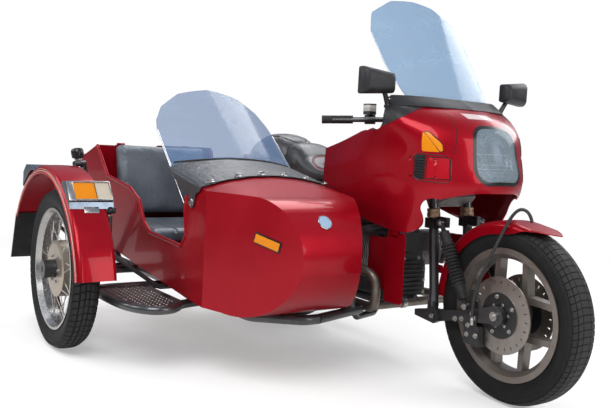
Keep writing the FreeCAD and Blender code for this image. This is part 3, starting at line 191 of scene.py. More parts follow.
def reachFrom(start, centre, axis):
    # distance from a wheel's axle
    turn = tuple(axis.rotation_difference(Vector((0, 1, 0))).to_euler())
    flat = start.node("VectorMath", {"operation": "MULTIPLY"}, {0: positions(start, centre, turn=turn), 1: (1, 0, 1)})
    return start.node("VectorMath", {"operation": "LENGTH"}, {0: flat}, out=1)


def parted(start, letter, source=3):
    # one coordinate: of the frame, or of another output of the coordinates
    return start.node("SeparateXYZ", None, {"Vector": start.node("TexCoord", out=source)}, out="xyz".index(letter))


def rays(start):
    # factors for rays seen by the camera or sent through glass, and for reflections
    path = start.node("LightPath")
    outputs = path.socket.node.outputs
    through, glossy = (Wire(start.tree, outputs[f"Is {kind} Ray"]) for kind in ("Transmission", "Glossy"))
    return (path + through).clamped(), glossy


def cloudy(start, where, scale, detail=3.0, roughness=0.55):
    return start.node("TexNoise", None, {"Vector": where, "Scale": scale, "Detail": detail, "Roughness": roughness})


def ramp(start, factor, low, high):
    black, white = (0, 0, 0, 1), (1, 1, 1, 1)
    return start.node("ValToRGB", {"stops": ((low, black), (high, white))}, {"Fac": factor})


def spread(start, where, scale, detail, roughness, low, high):
    # patches of noise, from none to full between two levels
    return ramp(start, cloudy(start, where, scale, detail, roughness), low, high)


def bump(start, height, strength, distance=0.001, normal=None):
    sockets = {"Height": height, "Strength": strength, "Distance": distance}
    if normal:
        sockets["Normal"] = normal
    return start.node("Bump", None, sockets)


def scaled(colour, factor, add=0.0):
    return tuple(c * factor + add for c in colour)


# each maker gives the shader's sockets: its colour, and how rough, dusty, worn or bumpy it is

def paint(start, where, colour, flake=0.0, rough=0.3, dust=0.25, metal=0.0, coat=0.8, peel=0.03, shine=0.3):
    # sprayed paint: slightly uneven tone, metal flake, clear lacquer, orange peel and settled dust
    light = tuple(min(c, 1) for c in scaled(colour, 1.12, flake * 0.02))
    tone = spread(start, where, 3.0, 4.0, 0.55, 0.3, 0.7) * 0.8
    tone += spread(start, where, 900.0, 1.0, 0.55, 0.45, 0.75) * flake
    settledDust = spread(start, where, 9.0, 6.0, 0.7, 0.5, 0.85) * dust
    return {"Base Color": settledDust.blend(tone.clamped().blend(scaled(colour, 0.8), light), (0.30, 0.24, 0.22)),
            "Roughness": settledDust * 0.5 + rough, "Metallic": metal, "Coat Weight": coat, "Coat Roughness": 0.03,
            "Specular IOR Level": shine, "Normal": bump(start, cloudy(start, where, 420.0, 2.0), peel, 0.0006)}


def castMetal(start, where, colour, rough=0.42, grain=0.25, metal=0.85, grime=0.35, scale=260.0):
    # cast or blasted metal: fine pits, dull patches and darker grime in places
    patch = spread(start, where, 14.0, 5.0, 0.65, 0.42, 0.72)
    pits = cloudy(start, where, scale, 3.0, 0.6)
    return {"Base Color": (patch * grime).blend(colour, scaled(colour, 0.35)), "Metallic": metal,
            "Roughness": patch * 0.22 + pits * 0.08 + rough, "Normal": bump(start, pits, grain, 0.0006)}


def polished(start, where, colour, rough=0.07, metal=1.0):
    # plated metal with faint haze and water marks
    haze = spread(start, where, 22.0, 5.0, 0.7, 0.45, 0.8)
    return {"Base Color": (haze * 0.35).blend(colour, scaled(colour, 0.75)), "Roughness": haze * 0.16 + rough,
            "Metallic": metal, "Normal": bump(start, cloudy(start, where, 90.0, 2.0), 0.03, 0.0005)}


def moulded(start, where, colour, rough=0.5, grain=0.2, scale=700.0, dust=0.3, dustColour=(0.09, 0.08, 0.075)):
    # moulded plastic or rubber: fine grain and dusty patches
    cells = start.node("TexVoronoi", None, {"Vector": where, "Scale": scale})
    patch = spread(start, where, 11.0, 5.0, 0.7, 0.45, 0.85) * dust
    return {"Base Color": patch.blend(colour, dustColour), "Roughness": patch * 0.3 + rough,
            "Specular IOR Level": 0.24, "Normal": bump(start, cells, grain, 0.0004)}


def controlPlastic(start, where, colour, jar, low, high, side):
    # black switch gear with the pale see-through fluid jar between two heights on one side
    sockets = moulded(start, where, colour, 0.36, 0.1, dust=0.2, dustColour=(0.15, 0.135, 0.125))
    height = parted(start, "z")
    mask = height.past(low, 0.001) * height.past(high, -0.001) * parted(start, "y").past(side, -0.001)
    fluid = height.past(low + (high - low) * 0.55, 0.001).blend(scaled(jar, 0.72), jar)
    return {**sockets, "Base Color": mask.blend(sockets["Base Color"], fluid), "Specular IOR Level": 0.5}


def leatherette(start, where, colour, rough=0.36, grain=0.35, worn=1.0, creased=0.5):
    # grained vinyl with soft creases, and a lighter colour on the high places that is partly wear and partly a painted
    # sheen
    cells = start.node("TexVoronoi", {"feature": "DISTANCE_TO_EDGE"}, {"Vector": where, "Scale": 420.0})
    creases = cloudy(start, positions(start, scale=(1.0, 2.6, 1.6)), 16.0, 6.0, 0.62)
    rubbedWearAndSheen = spread(start, where, 6.0, 4.0, 0.55, 0.4, 0.75)
    # lighter patches and crease ridges: partly rubbed wear, partly painted highlight
    share = (rubbedWearAndSheen * 0.5 + ramp(start, creases, 0.55, 0.8) * 0.25) * worn
    fine = bump(start, ramp(start, cells, 0.0, 0.25), grain, 0.0005)
    return {"Base Color": share.clamped().blend(colour, scaled(colour, 2.2, 0.02)), "Roughness": rubbedWearAndSheen * 0.14 + rough,
            "Normal": bump(start, creases, creased, 0.004, fine)}


def screenPlastic(start, where, colour, thin=0.3, edge=0.4):
    # clear tinted screen: see-through face on, stronger at grazing angles, with fine dust and swirls
    graze = start.node("LayerWeight", None, {"Blend": 0.3}, out=1)
    dust = spread(start, where, 30.0, 8.0, 0.75, 0.5, 0.9)
    swirl = spread(start, positions(start, scale=(1, 1, 3.5)), 5.0, 5.0, 0.6, 0.42, 0.8)
    veil = (graze ** 2.0) * edge + swirl * 0.08 + dust * 0.04 + thin
    return {"Base Color": (dust * 0.16 + swirl * 0.18).clamped().blend(colour, (0.45, 0.55, 0.66)),
            "Roughness": dust * 0.1 + 0.12, "Alpha": veil.clamped(), "IOR": 1.49, "Specular IOR Level": 0.12,
            "Coat Weight": 0.04, "Normal": bump(start, cloudy(start, where, 5.0, 2.0), 0.02, 0.002)}


def lensPlastic(start, where, colour, pitch=6.0, rough=0.12, other=None, split=None):
    # signal lens: small moulded ribs both ways under a smooth face; past an edge, in a span, it has another colour
    across, up = (parted(start, letter) * (2000 * math.pi / pitch) for letter in "yz")
    pattern = across.maths("SINE", across) * up.maths("SINE", up) * 0.5 + 0.5
    if other:
        edge, (near, far) = split
        beyond = parted(start, "y").past(edge, 0.0006)
        span = parted(start, "x").past(near, 0.001) * parted(start, "x").past(far, -0.001)
        tone = (beyond * span).blend(colour, other)
        base = start.node("VectorMath", {"operation": "MULTIPLY"}, {
            0: tone, 1: (pattern * 0.45).blend((1, 1, 1), (0.35, 0.35, 0.35))})
    else:
        base = (pattern * 0.55).blend(colour, scaled(colour, 0.5))
    return {"Base Color": base, "Roughness": pattern * 0.1 + rough, "Coat Weight": 0.2, "Coat Roughness": 0.03,
            "Specular IOR Level": 0.2, "Normal": bump(start, pattern, 0.35, 0.0012)}


def tyreRubber(start, where, centre, axis, radius):
    # side walls with fine circular ribs, dust, and grey where it meets the road
    reach = reachFrom(start, centre, axis)
    ribs = (reach * 2400.0).maths("SINE", reach * 2400.0)
    outer = (reach * (1 / radius)).past(0.93, 0.06)
    dust = spread(start, where, 18.0, 6.0, 0.7, 0.4, 0.8)
    grey = (outer * 0.45 + dust * 0.25).clamped()
    fine = bump(start, cloudy(start, where, 500.0, 3.0), 0.25, 0.0006)
    return {"Base Color": grey.blend((0.006, 0.006, 0.0065), (0.034, 0.032, 0.031)), "Roughness": dust * 0.2 + 0.6,
            "Specular IOR Level": 0.16, "Normal": bump(start, ribs, 0.12, 0.0006, fine)}


def turnedMetal(start, where, centre, axis, border, outside, inside, rough=0.28, metal=1.0, insideMetal=0.2):
    # a disc or hub: concentric polish lines beyond a border, another finish within it
    reach = reachFrom(start, centre, axis)
    rings = cloudy(start, start.node("CombineXYZ", None, {"X": reach * 900.0}), 1.0, 4.0)
    marks = spread(start, where, 24.0, 4.0, 0.55, 0.4, 0.75)
    worn = (rings * 0.5 + marks * 0.25).clamped().blend(outside, scaled(outside, 0.45))
    beyond = reach.past(border, 0.0006)
    return {"Base Color": beyond.blend(inside, worn), "Roughness": rings * 0.2 + rough,
            "Metallic": beyond * (metal - insideMetal) + insideMetal, "Normal": bump(start, rings, 0.2, 0.0004)}


finishTable = {
    # name: slot, maker, settings
    "redPaint": ("red_paint", paint, dict(colour=(0.235, 0.0002, 0.0060), flake=0.25, rough=0.3, dust=0.008,
            metal=0.35, coat=0.20, shine=0.03)),
    # painted highlight: the vent door wears the body's red paint, made lighter to stand in for the light it reflects
    "redDoor": ("red_paint", paint, dict(colour=(0.29, 0.002, 0.008), rough=0.35, dust=0.02, metal=0.15, coat=0.36,
            shine=0.1)),
    # painted highlight: the fender's edge bead is a lighter red than the body paint, standing in for the light along
    # the rolled edge
    "redEdge": ("red_paint", paint, dict(colour=(0.34, 0.003, 0.010), rough=0.35, dust=0.03, coat=0.4, shine=0.1)),
    # painted highlight: pale colour for the two lines along the sidecar fender's arch, standing in for the light caught
    # along its edge
    "palePinstripe": ("red_paint", paint, dict(colour=(0.62, 0.50, 0.40), rough=0.4, dust=0.2, coat=0.3)),
    # painted highlight: the white of the lines behind the headlight glass
    "whitePaint": ("red_paint", paint, dict(colour=(0.66, 0.60, 0.60), rough=0.4, dust=0.5, coat=0.4)),
    "rimPaint": ("cast_rim", paint, dict(colour=(0.145, 0.125, 0.11), rough=0.36, dust=0.3, metal=0.55, coat=0.2,
            shine=0.4)),
    "blackEnamel": ("black_metal", paint, dict(colour=(0.012, 0.012, 0.014), rough=0.34, dust=0.12, coat=0.5,
            shine=0.5)),
    "chassisBlack": ("black_metal", paint, dict(colour=(0.014, 0.014, 0.016), rough=0.4, dust=0.18, coat=0.3,
            peel=0.08, shine=0.5)),
    "brightCast": ("bright_metal", castMetal, dict(colour=(0.28, 0.27, 0.27), rough=0.4)),
    "engineCast": ("engine_metal", castMetal, dict(colour=(0.12, 0.118, 0.115), rough=0.5, grime=0.6, metal=0.7)),
    "darkCast": ("black_metal", castMetal, dict(colour=(0.035, 0.035, 0.037), rough=0.45, grime=0.4, metal=0.5)),
    "plainSteel": ("steel", castMetal, dict(colour=(0.40, 0.385, 0.36), rough=0.32, grain=0.1, metal=1.0,
            scale=600.0)),
    "wornBronze": ("steel", castMetal, dict(colour=(0.30, 0.20, 0.13), rough=0.45, grain=0.2, metal=0.8,
            scale=400.0)),
    "chrome": ("chrome", polished, dict(colour=(0.52, 0.52, 0.53))),
    "satinChrome": ("chrome", polished, dict(colour=(0.34, 0.33, 0.32), rough=0.24)),
    # painted shade: a darkened, bluish copy of chrome for the lamp bodies and the headlight's bowl
    "lampMetal": ("chrome", polished, dict(colour=(0.13, 0.155, 0.19), rough=0.25)),
    "pipeMetal": ("steel", castMetal, dict(colour=(0.17, 0.14, 0.12), rough=0.36, grain=0.15, metal=0.85, grime=0.6,
            scale=300.0)),
    "wornStrip": ("red_paint", paint, dict(colour=(0.44, 0.33, 0.34), rough=0.45, dust=0.5, coat=0.3)),
    "badgeEnamel": ("chrome", paint, dict(colour=(0.20, 0.29, 0.40), rough=0.3, dust=0.1)),
    "blackPlastic": ("black_plastic", moulded, dict(colour=(0.010, 0.010, 0.012), rough=0.46)),
    "glossBlack": ("black_plastic", moulded, dict(colour=(0.010, 0.010, 0.011), rough=0.22, grain=0.05, dust=0.08)),
    "rubber": ("rubber", moulded, dict(colour=(0.008, 0.008, 0.008), rough=0.6, grain=0.3, scale=420.0, dust=0.3)),
    "hoseRubber": ("rubber", moulded, dict(colour=(0.02, 0.02, 0.022), rough=0.42, grain=0.1, scale=300.0,
            dust=0.2)),
    # worn sets the lighter patches on the vinyl, partly wear and partly painted highlight
    "seatVinyl": ("vinyl", leatherette, dict(colour=(0.016, 0.016, 0.018), rough=0.28, worn=0.9)),
    "sideVinyl": ("vinyl", leatherette, dict(colour=(0.060, 0.070, 0.088), rough=0.3, worn=1.0, creased=0.7)),
    "coverVinyl": ("vinyl", leatherette, dict(colour=(0.014, 0.014, 0.016), rough=0.34, grain=0.25, worn=0.6,
            creased=0.8)),
    "pipingGrey": ("vinyl", moulded, dict(colour=(0.24, 0.23, 0.23), rough=0.45, grain=0.1)),
    "pipingRed": ("vinyl", moulded, dict(colour=(0.30, 0.03, 0.04), rough=0.5, grain=0.1)),
    "screen": ("clear", screenPlastic, dict(colour=(0.09, 0.20, 0.34), thin=0.52)),
    "sideScreen": ("clear", screenPlastic, dict(colour=(0.09, 0.15, 0.27), thin=0.48)),
    "lampGlass": ("clear", screenPlastic, dict(colour=(0.20, 0.25, 0.29), thin=0.34, edge=0.4)),
    "amber": ("amber", lensPlastic, dict(colour=(0.56, 0.18, 0.001))),
    "sideLens": ("amber", lensPlastic, dict(colour=(0.56, 0.18, 0.001), other=(0.42, 0.37, 0.30),
            split=(at(0, -1206, 0).y, (at(330, 0, 0).x, at(500, 0, 0).x)))),
    "redLens": ("red_lens", lensPlastic, dict(colour=(0.45, 0.006, 0.006))),
    "frontTyre": ("tyre", tyreRubber, dict(centre=frontCentre, axis=frontAxis, radius=0.33)),
    "rearTyre": ("tyre", tyreRubber, dict(centre=rearCentre, axis=rearAxis, radius=0.33)),
    "sideTyre": ("tyre", tyreRubber, dict(centre=sideCentre, axis=sideAxis, radius=0.335)),
    "discSteel": ("disc_steel", turnedMetal, dict(centre=frontCentre, axis=frontAxis, border=0.0845,
            outside=(0.36, 0.33, 0.30), inside=(0.012, 0.012, 0.013))),
    "hubMetal": ("bright_metal", turnedMetal, dict(centre=sideCentre, axis=sideAxis, border=0.0405,
            outside=(0.42, 0.36, 0.29), inside=(0.02, 0.02, 0.022), rough=0.3, metal=0.9)),
    "mirrorFace": ("chrome", polished, dict(colour=(0.86, 0.87, 0.88), rough=0.01)),
    "controlPlastic": ("black_plastic", controlPlastic, dict(colour=(0.014, 0.014, 0.015), jar=(0.42, 0.41, 0.38),
            low=1.058, high=1.084, side=at(0, 0, 0).y)),
    "smokedEdge": ("clear", polished, dict(colour=(0.30, 0.36, 0.42), rough=0.15, metal=0.3)),
    "dialFace": ("black_plastic", moulded, dict(colour=(0.01, 0.01, 0.011), rough=0.3, grain=0.0, dust=0.05)),
    "dialMark": ("black_plastic", moulded, dict(colour=(0.75, 0.75, 0.72), rough=0.5, grain=0.0, dust=0.02)),
}
finishes = {}
for name, (slot, maker, settings) in finishTable.items():
    made, start = newMaterial(name)
    close(start, start.node("BsdfPrincipled", None, maker(start, positions(start), **settings)))
    finishes[name] = made
print("materials made", len(finishes))

nodeFinishes = {  # finish: the nodes that wear it
    "rimPaint": "front_rim rear_rim",
    "frontTyre": "front_tyre",
    "rearTyre": "rear_tyre",
    "sideTyre": "side_tyre",
    "discSteel": "front_discs",
    "blackEnamel": "fork_legs handlebar fork_arms front_shocks swingarm rear_shocks footboard side_shock",
    "brightCast": "fork_yokes cylinders",
    "rubber": "hand_grips brake_hose mud_flap",
    "controlPlastic": "hand_controls",
    "plainSteel": "front_axle rear_axle side_spokes",
    "darkCast": "brake_calipers engine_block",
    "redPaint": "front_fender fuel_tank tail_cowl side_panels fairing leg_shields sidecar_body boot_lid "
                "side_fender",
    "engineCast": "carburettors",
    "pipeMetal": "exhaust_system",
    "seatVinyl": "saddle",
    "blackPlastic": "rear_fender cockpit_trim fairing_vents mirrors",
    "redLens": "tail_lamp",
    "glossBlack": "headlight_housing",
    "lampGlass": "headlight_glass",
    "amber": "fairing_indicators",
    "chassisBlack": "main_frame sidecar_frame side_swingarm",
    "screen": "windshield",
    "sideVinyl": "side_seat",
    "coverVinyl": "apron",
    "sideScreen": "side_windscreen",
    # the side lamp bodies wear chrome darkened as painted shade
    "lampMetal": "side_lamps",
    "sideLens": "side_lenses",
    "satinChrome": "side_rim",
    "hubMetal": "side_hub",
}
for finish, names in nodeFinishes.items():
    for name in names.split():
        materials = frame["nodes"][name].data.materials
        materials.clear()
        materials.append(finishes[finish])

stageSettings = {"floor": (0.80, 0.80, 0.80), "worldLight": 0.38, "floorSize": 30.0}


def addFloor():
    bpy.ops.object.select_all(action="DESELECT")
    bpy.ops.mesh.primitive_plane_add(size=stageSettings["floorSize"], location=(0, 0, -0.0015))
    floor = bpy.context.object
    floor.name = "studioFloor"
    made, start = newMaterial("studioFloor")
    plain, glossy = rays(start)
    grain = cloudy(start, positions(start), 40.0, 4.0)
    base = grain.blend(stageSettings["floor"], scaled(stageSettings["floor"], 1.04))
    matt = start.node("BsdfPrincipled", None, {"Base Color": base, "Roughness": 0.75})
    glow = start.node("Emission", None, {"Color": (1, 1, 1, 1), "Strength": 1.0})
    away = start.node("VectorMath", {"operation": "LENGTH"}, {0: positions(start)}, out=1)
    far = away.past(1.5, 2.7)
    seen = plain * (far * 0.65 + 0.35) + glossy * (far * 0.3)
    close(start, start.node("MixShader", None, {"Fac": seen.clamped(), 1: matt, 2: glow}))
    floor.data.materials.append(made)


def addWorld():
    world = bpy.data.worlds.new("studio")
    bpy.context.scene.world = world
    world.use_nodes = True
    world.node_tree.nodes.clear()
    start = Wire(world.node_tree)
    plain, glossy = rays(start)
    light = stageSettings["worldLight"]
    sky = parted(start, "z", 0).past(0.0, 0.7) * 0.5 + 0.16
    strength = (plain * (1 - light) + light) * (1 - glossy) + sky * glossy
    shade = (glossy * (1 - plain)).blend((1, 1, 1), (0.74, 0.84, 1.0))
    close(start, start.node("Background", None, {"Color": shade, "Strength": strength}), "World")


lamps = {
    # name: place, aim, width, height, power
    "key": ((2600, -2600, 3300), (500, -400, 500), 2.6, 2.2, 170),
    "side": ((-1200, -3600, 2300), (100, -900, 400), 2.8, 1.6, 70),
    "front": ((4200, 600, 1700), (1000, -100, 600), 1.6, 2.2, 60),
    "back": ((-1500, 1500, 4100), (200, -300, 500), 2.8, 1.8, 110),
    "left": ((900, 3400, 2600), (600, 0, 500), 2.8, 1.8, 95),
}


def addLamps():
    for name, (place, aim, wide, tall, power) in lamps.items():
        light = bpy.data.lights.new(name, "AREA")
        light.shape = "RECTANGLE"
        light.size, light.size_y, light.energy = wide, tall, power
        holder = linked(name, light)
        holder.location = at(*place)
        holder.rotation_euler = (at(*aim) - at(*place)).to_track_quat("-Z", "Y").to_euler()


addFloor()
addWorld()
addLamps()
print("stage ready")


def clearAll():
    if bpy.context.object and bpy.context.object.mode != "OBJECT":
        bpy.ops.object.mode_set(mode="OBJECT")
    bpy.ops.object.select_all(action="DESELECT")


def only(piece):
    clearAll()
    piece.select_set(True)
    bpy.context.view_layer.objects.active = piece


def fixed(piece):
    # puts an object's own place into its mesh
    only(piece)
    bpy.ops.object.transform_apply(location=True, rotation=True, scale=True)
    return piece


def stood(piece, place):
    piece.matrix_world = place
    return piece


def editing(piece, test):
    # opens edit mode with only the faces that pass the test
    only(piece)
    bpy.ops.object.mode_set(mode="EDIT")
    bpy.ops.mesh.select_mode(type="FACE")
    bpy.ops.mesh.select_all(action="DESELECT")
    work = bmesh.from_edit_mesh(piece.data)
    for face in work.faces:
        if test(face):
            face.select_set(True)
    work.select_flush(True)
    bmesh.update_edit_mesh(piece.data)


def done():
    bpy.ops.object.mode_set(mode="OBJECT")


def facedOut(piece):
    editing(piece, lambda face: True)
    bpy.ops.mesh.normals_make_consistent(inside=False)
    done()
    return piece


def meshOf(name, work):
    # an object of a finished mesh
    mesh = bpy.data.meshes.new(name)
    work.to_mesh(mesh)
    work.free()
    return linked(name, mesh)


def quads(work, rows, ring=False):
    # four-sided faces between rows of the same number of points
    for first, second in zip(rows, rows[1:]):
        for index in range(len(first) if ring else len(first) - 1):
            after = (index + 1) % len(first)
            work.faces.new((first[index], first[after], second[after], second[index]))


def applied(piece, kind, **settings):
    only(piece)
    modifier = piece.modifiers.new(kind.lower(), kind)
    for name, value in settings.items():
        setattr(modifier, name, value)
    bpy.ops.object.modifier_apply(modifier=modifier.name)
    return piece


def bevelled(piece, width, segments=2, angle=30):
    return applied(piece, "BEVEL", width=width, segments=segments, limit_method="ANGLE",
                   angle_limit=math.radians(angle))


def settled(piece, name, finish, body, place=None, smooth=35, instead=()):
    # fixes the place in the mesh, names it and hangs it on its body
    if place is not None:
        piece.matrix_world = place @ piece.matrix_world
    fixed(piece)
    bpy.ops.object.shade_smooth_by_angle(angle=math.radians(smooth))
    piece.name = name
    piece.data.name = name
    piece.data.materials.clear()
    piece.data.materials.append(finishes[finish])
    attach(piece, body)
    if instead:
        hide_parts(*instead)
    return piece


def aimed(direction, centre=(0, 0, 0), roll=0.0):
    # turns +Z to a direction, at a place
    turn = Vector(direction).normalized().to_track_quat("Z", "Y").to_matrix().to_4x4()
    return Matrix.Translation(Vector(centre)) @ turn @ Matrix.Rotation(roll, 4, "Z")


def disc(radius, depth, sides=32, middle=(0, 0, 0)):
    clearAll()
    bpy.ops.mesh.primitive_cylinder_add(vertices=sides, radius=radius, depth=depth, location=middle)
    return fixed(bpy.context.object)


def block(size, middle=(0, 0, 0)):
    clearAll()
    bpy.ops.mesh.primitive_cube_add(size=1, location=middle)
    bpy.context.object.scale = size
    return fixed(bpy.context.object)


def merged(pieces):
    clearAll()
    for piece in pieces:
        piece.select_set(True)
    bpy.context.view_layer.objects.active = pieces[0]
    if len(pieces) > 1:
        bpy.ops.object.join()
    return fixed(pieces[0])


def copied(piece, places):
    # one shape repeated at several places, each copy with its own mesh, joined into one
    copies = []
    for place in places:
        copies.append(stood(linked(piece.name, piece.data.copy()), place @ piece.matrix_world))
    bpy.data.objects.remove(piece)
    return merged(copies)


def lathe(profile, steps=48, ring=False):
    # spins a line of (along, radius) points about Z
    clearAll()
    bpy.ops.mesh.primitive_circle_add(vertices=3, radius=0.001)
    piece = bpy.context.object
    bpy.ops.object.mode_set(mode="EDIT")
    work = bmesh.from_edit_mesh(piece.data)
    bmesh.ops.delete(work, geom=work.verts[:], context="VERTS")
    line = [work.verts.new((radius, 0, along)) for along, radius in profile]
    for first, second in zip(line, line[1:] + (line[:1] if ring else [])):
        work.edges.new((first, second))
    bmesh.update_edit_mesh(piece.data)
    bpy.ops.mesh.select_all(action="SELECT")
    bpy.ops.mesh.spin(steps=steps, angle=2 * math.pi, center=(0, 0, 0), axis=(0, 0, 1))
    bpy.ops.mesh.select_all(action="SELECT")
    bpy.ops.mesh.remove_doubles(threshold=0.00002)
    bpy.ops.mesh.normals_make_consistent(inside=False)
    bpy.ops.object.mode_set(mode="OBJECT")
    return piece


def bolt(radius, height):
    # hexagon head on a round washer
    head = disc(radius, height, 6, (0, 0, height * 0.7))
    washer = disc(radius * 1.35, height * 0.3, 16, (0, 0, height * 0.1))
    return bevelled(merged([head, washer]), radius * 0.1, 1)


def bolted(name, body, turned, radius, height, spots):
    # steel bolts at (point, direction) spots, in drawing millimetres
    places = [(steerTurn if turned else Matrix()) @ aimed(direction, at(*point)) for point, direction in spots]
    return settled(copied(bolt(radius, height), places), name, "plainSteel", body)


def curved(name, points, kind, radius=0.0, sides=3, loop=False):
    # round bead along points, straight from one to the next or smooth
    line = bpy.data.curves.new(name, "CURVE")
    line.dimensions = "3D"
    line.bevel_depth = radius
    line.bevel_resolution = sides
    line.use_fill_caps = True
    spline = line.splines.new(kind)
    spline.points.add(len(points) - 1)
    for target, point in zip(spline.points, points):
        target.co = (*point, 1)
    spline.use_cyclic_u = loop
    if kind == "NURBS":
        spline.order_u = 3
        spline.use_endpoint_u = True
    return linked(name, line)


def meshed(holder):
    only(holder)
    bpy.ops.object.convert(target="MESH")
    return bpy.context.object


def tube(name, points, radius, finish, sides=3, loop=False):
    return settled(meshed(curved(name, points, "POLY", radius, sides, loop)), name, finish, "outfit", smooth=50)


def surfaceOf(thing):
    work = bmesh.new()
    work.from_mesh(thing.data)
    tree = BVHTree.FromBMesh(work)
    work.free()
    return tree


def within(axis, low=None, high=None):
    # planes that keep what lies between two drawing values along an axis
    planes = []
    for value, sign in ((low, 1), (high, -1)):
        if value is not None:
            place, normal = [0, 0, 0], [0, 0, 0]
            place[axis], normal[axis] = value, sign
            planes.append((at(*place), normal))
    return planes


def peeled(nodes, planes, facing, lift, name, finish):
    # a skin lifted off part of a surface: what lies on the normal's side of every plane
    piece = merged([linked(name, frame["nodes"][node].data.copy()) for node in nodes])
    bpy.ops.object.mode_set(mode="EDIT")
    bpy.ops.mesh.select_mode(type="VERT")
    bpy.ops.mesh.select_all(action="SELECT")
    bpy.ops.mesh.remove_doubles(threshold=0.00001)
    for place, normal in planes:
        bpy.ops.mesh.select_all(action="SELECT")
        bpy.ops.mesh.bisect(plane_co=place, plane_no=normal, clear_inner=True)
    done()
    editing(piece, lambda face: face.normal.dot(facing) < 0.25)
    bpy.ops.mesh.delete(type="FACE")
    done()
    applied(piece, "SOLIDIFY", thickness=lift, offset=1)
    return settled(piece, name, finish, "outfit")


hose = {"path": ((1365, -101.6, 284), (1367, -106, 360), (1387, -103, 440), (1475, -88, 630), (1517, -66, 728),
                 (1563, -46, 722), (1569, -40, 681)), "diameter": 0.012, "length": 0.555}


def makeHose():
    points = [steerTurn @ at(*point) for point in hose["path"]]
    piece = curved("brakeHose", points, "NURBS", hose["diameter"] / 2, 4)
    piece.data.materials.append(finishes["hoseRubber"])
    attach(piece, "steering")
    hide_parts("brake_hose")


makeHose()
print("hose laid")

tyres = {
    # name: node, body, finish, centre, axis, half width, radius, bead radius, blocks round, columns, groove
    "frontTread": ("front_tyre", "front_wheel", "frontTyre", frontCentre, frontAxis, 0.060, 0.330, 0.2465, 84,
                   (0.88, 0.62, 0.30, -0.30, -0.62, -0.88), 0.0016),
    "rearTread": ("rear_tyre", "rear_wheel", "rearTyre", rearCentre, rearAxis, 0.063, 0.330, 0.2465, 84,
                  (0.88, 0.62, 0.30, -0.30, -0.62, -0.88), 0.0016),
    "sideTread": ("side_tyre", "sidecar_wheel", "sideTyre", sideCentre, sideAxis, 0.053, 0.335, 0.2545, 66,
                  (0.93, 0.52, 0.17, -0.17, -0.52, -0.93), 0.0026),
}


def makeTyre(name):
    node, body, finish, centre, axis, half, radius, bead, count, columns, groove = tyres[name]
    depth = 0.0045 if groove < 0.002 else 0.0065
    crown = radius - depth
    rimHalf = 0.0385
    flank = [(rimHalf, bead - 0.002), (rimHalf + 0.0045, bead + 0.006), (half - 0.006, bead + 0.020),
             (half, bead + 0.040), (half - 0.0012, radius - 0.036), (half * 0.975, radius - 0.026)]

    def crownAt(share):
        return crown - 0.021 * abs(share) ** 3.2

    profile = flank + [(half * share, crownAt(share)) for share in columns]
    profile += [(-along, reach) for along, reach in reversed(flank)]
    piece = lathe(profile, steps=count)
    for vertex in piece.data.vertices:  # slanting cuts across the tread
        lean = abs(vertex.co.z) / half * math.pi / count * 1.3
        vertex.co = Matrix.Rotation(lean, 3, "Z") @ vertex.co
    top = [half * columns[0], crownAt(columns[0])]

    def isTread(face):
        middle = face.calc_center_median()
        return abs(middle.z) < top[0] * 0.999 and math.hypot(middle.x, middle.y) > top[1] * 0.999 - 0.001

    editing(piece, isTread)
    bpy.ops.mesh.inset(thickness=groove, depth=depth, use_individual=True)
    done()

    def isShoulder(face):
        middle = face.calc_center_median()
        turn = math.atan2(middle.y, middle.x) / (2 * math.pi) * count
        reach = math.hypot(middle.x, middle.y)
        return radius - 0.034 < reach and abs(middle.z) > top[0] * 1.002 and int(math.floor(turn)) % 2 == 0 \
            and abs(face.normal.z) > 0.2 and reach < radius - 0.012

    editing(piece, isShoulder)
    bpy.ops.mesh.inset(thickness=groove * 1.6, depth=0.0016, use_individual=True)
    done()
    limit = radius - 0.0010
    for vertex in piece.data.vertices:
        reach = math.hypot(vertex.co.x, vertex.co.y)
        if reach > limit:
            vertex.co.x *= limit / reach
            vertex.co.y *= limit / reach
        vertex.co.z = max(-half, min(half, vertex.co.z))
    settled(piece, name, finish, body, aimed(axis, centre), 28, (node,))


for name in tyres:
    makeTyre(name)
print("tyres cut")

frontShock = {"low": (1328, 338), "high": (1172, 637), "side": 102, "bellows": 13, "peak": 0.0285, "valley": 0.0222}


def makeFrontShocks():
    low, high = (Vector((p[0], frontShock["side"], p[1])) for p in (frontShock["low"], frontShock["high"]))
    length = (high - low).length / 1000
    profile = [(0, 0), (0, 0.009), (0.08 * length, 0.009), (0.085 * length, 0.021), (0.22 * length, 0.021),
               (0.235 * length, frontShock["valley"])]
    for index in range(frontShock["bellows"]):
        start = length * (0.24 + 0.5 * index / frontShock["bellows"])
        step = length * 0.5 / frontShock["bellows"]
        profile += [(start, frontShock["valley"]), (start + step * 0.4, frontShock["peak"]),
                    (start + step * 0.6, frontShock["peak"])]
    profile += [(0.74 * length, frontShock["valley"]), (0.76 * length, 0.020), (0.885 * length, 0.020),
                (0.9 * length, 0.009), (length, 0.009), (length, 0)]
    both = [stood(lathe(profile, 36), aimed(high - low, at(low.x, side * low.y, low.z))) for side in (1, -1)]
    settled(merged(both), "frontShockBodies", "rubber", "steering", steerTurn, 40, ("front_shocks",))
    eye = bevelled(disc(0.014, 0.0225), 0.0015)
    ends = [(side, end) for side in (1, -1) for end in (low, high)]
    spots = [steerTurn @ aimed((0, side, 0), at(end.x, side * 101.6, end.z)) for side, end in ends]
    settled(copied(eye, spots), "frontShockEyes", "blackEnamel", "steering", instead=("front_shocks",))
    bolted("frontShockBolts", "steering", True, 0.009, 0.006, [
        ((end.x, side * 113, end.z), (0, side, 0)) for side, end in ends])


def coil(turns, radius, wire, length):
    # one ring of wire, screwed up its axis
    clearAll()
    bpy.ops.mesh.primitive_circle_add(vertices=8, radius=wire, rotation=(math.pi / 2, 0, 0), location=(radius, 0, 0))
    piece = fixed(bpy.context.object)
    applied(piece, "SCREW", axis="Z", steps=24, render_steps=24, screw_offset=length / turns, iterations=turns,
            use_normal_calculate=True)
    return facedOut(piece)


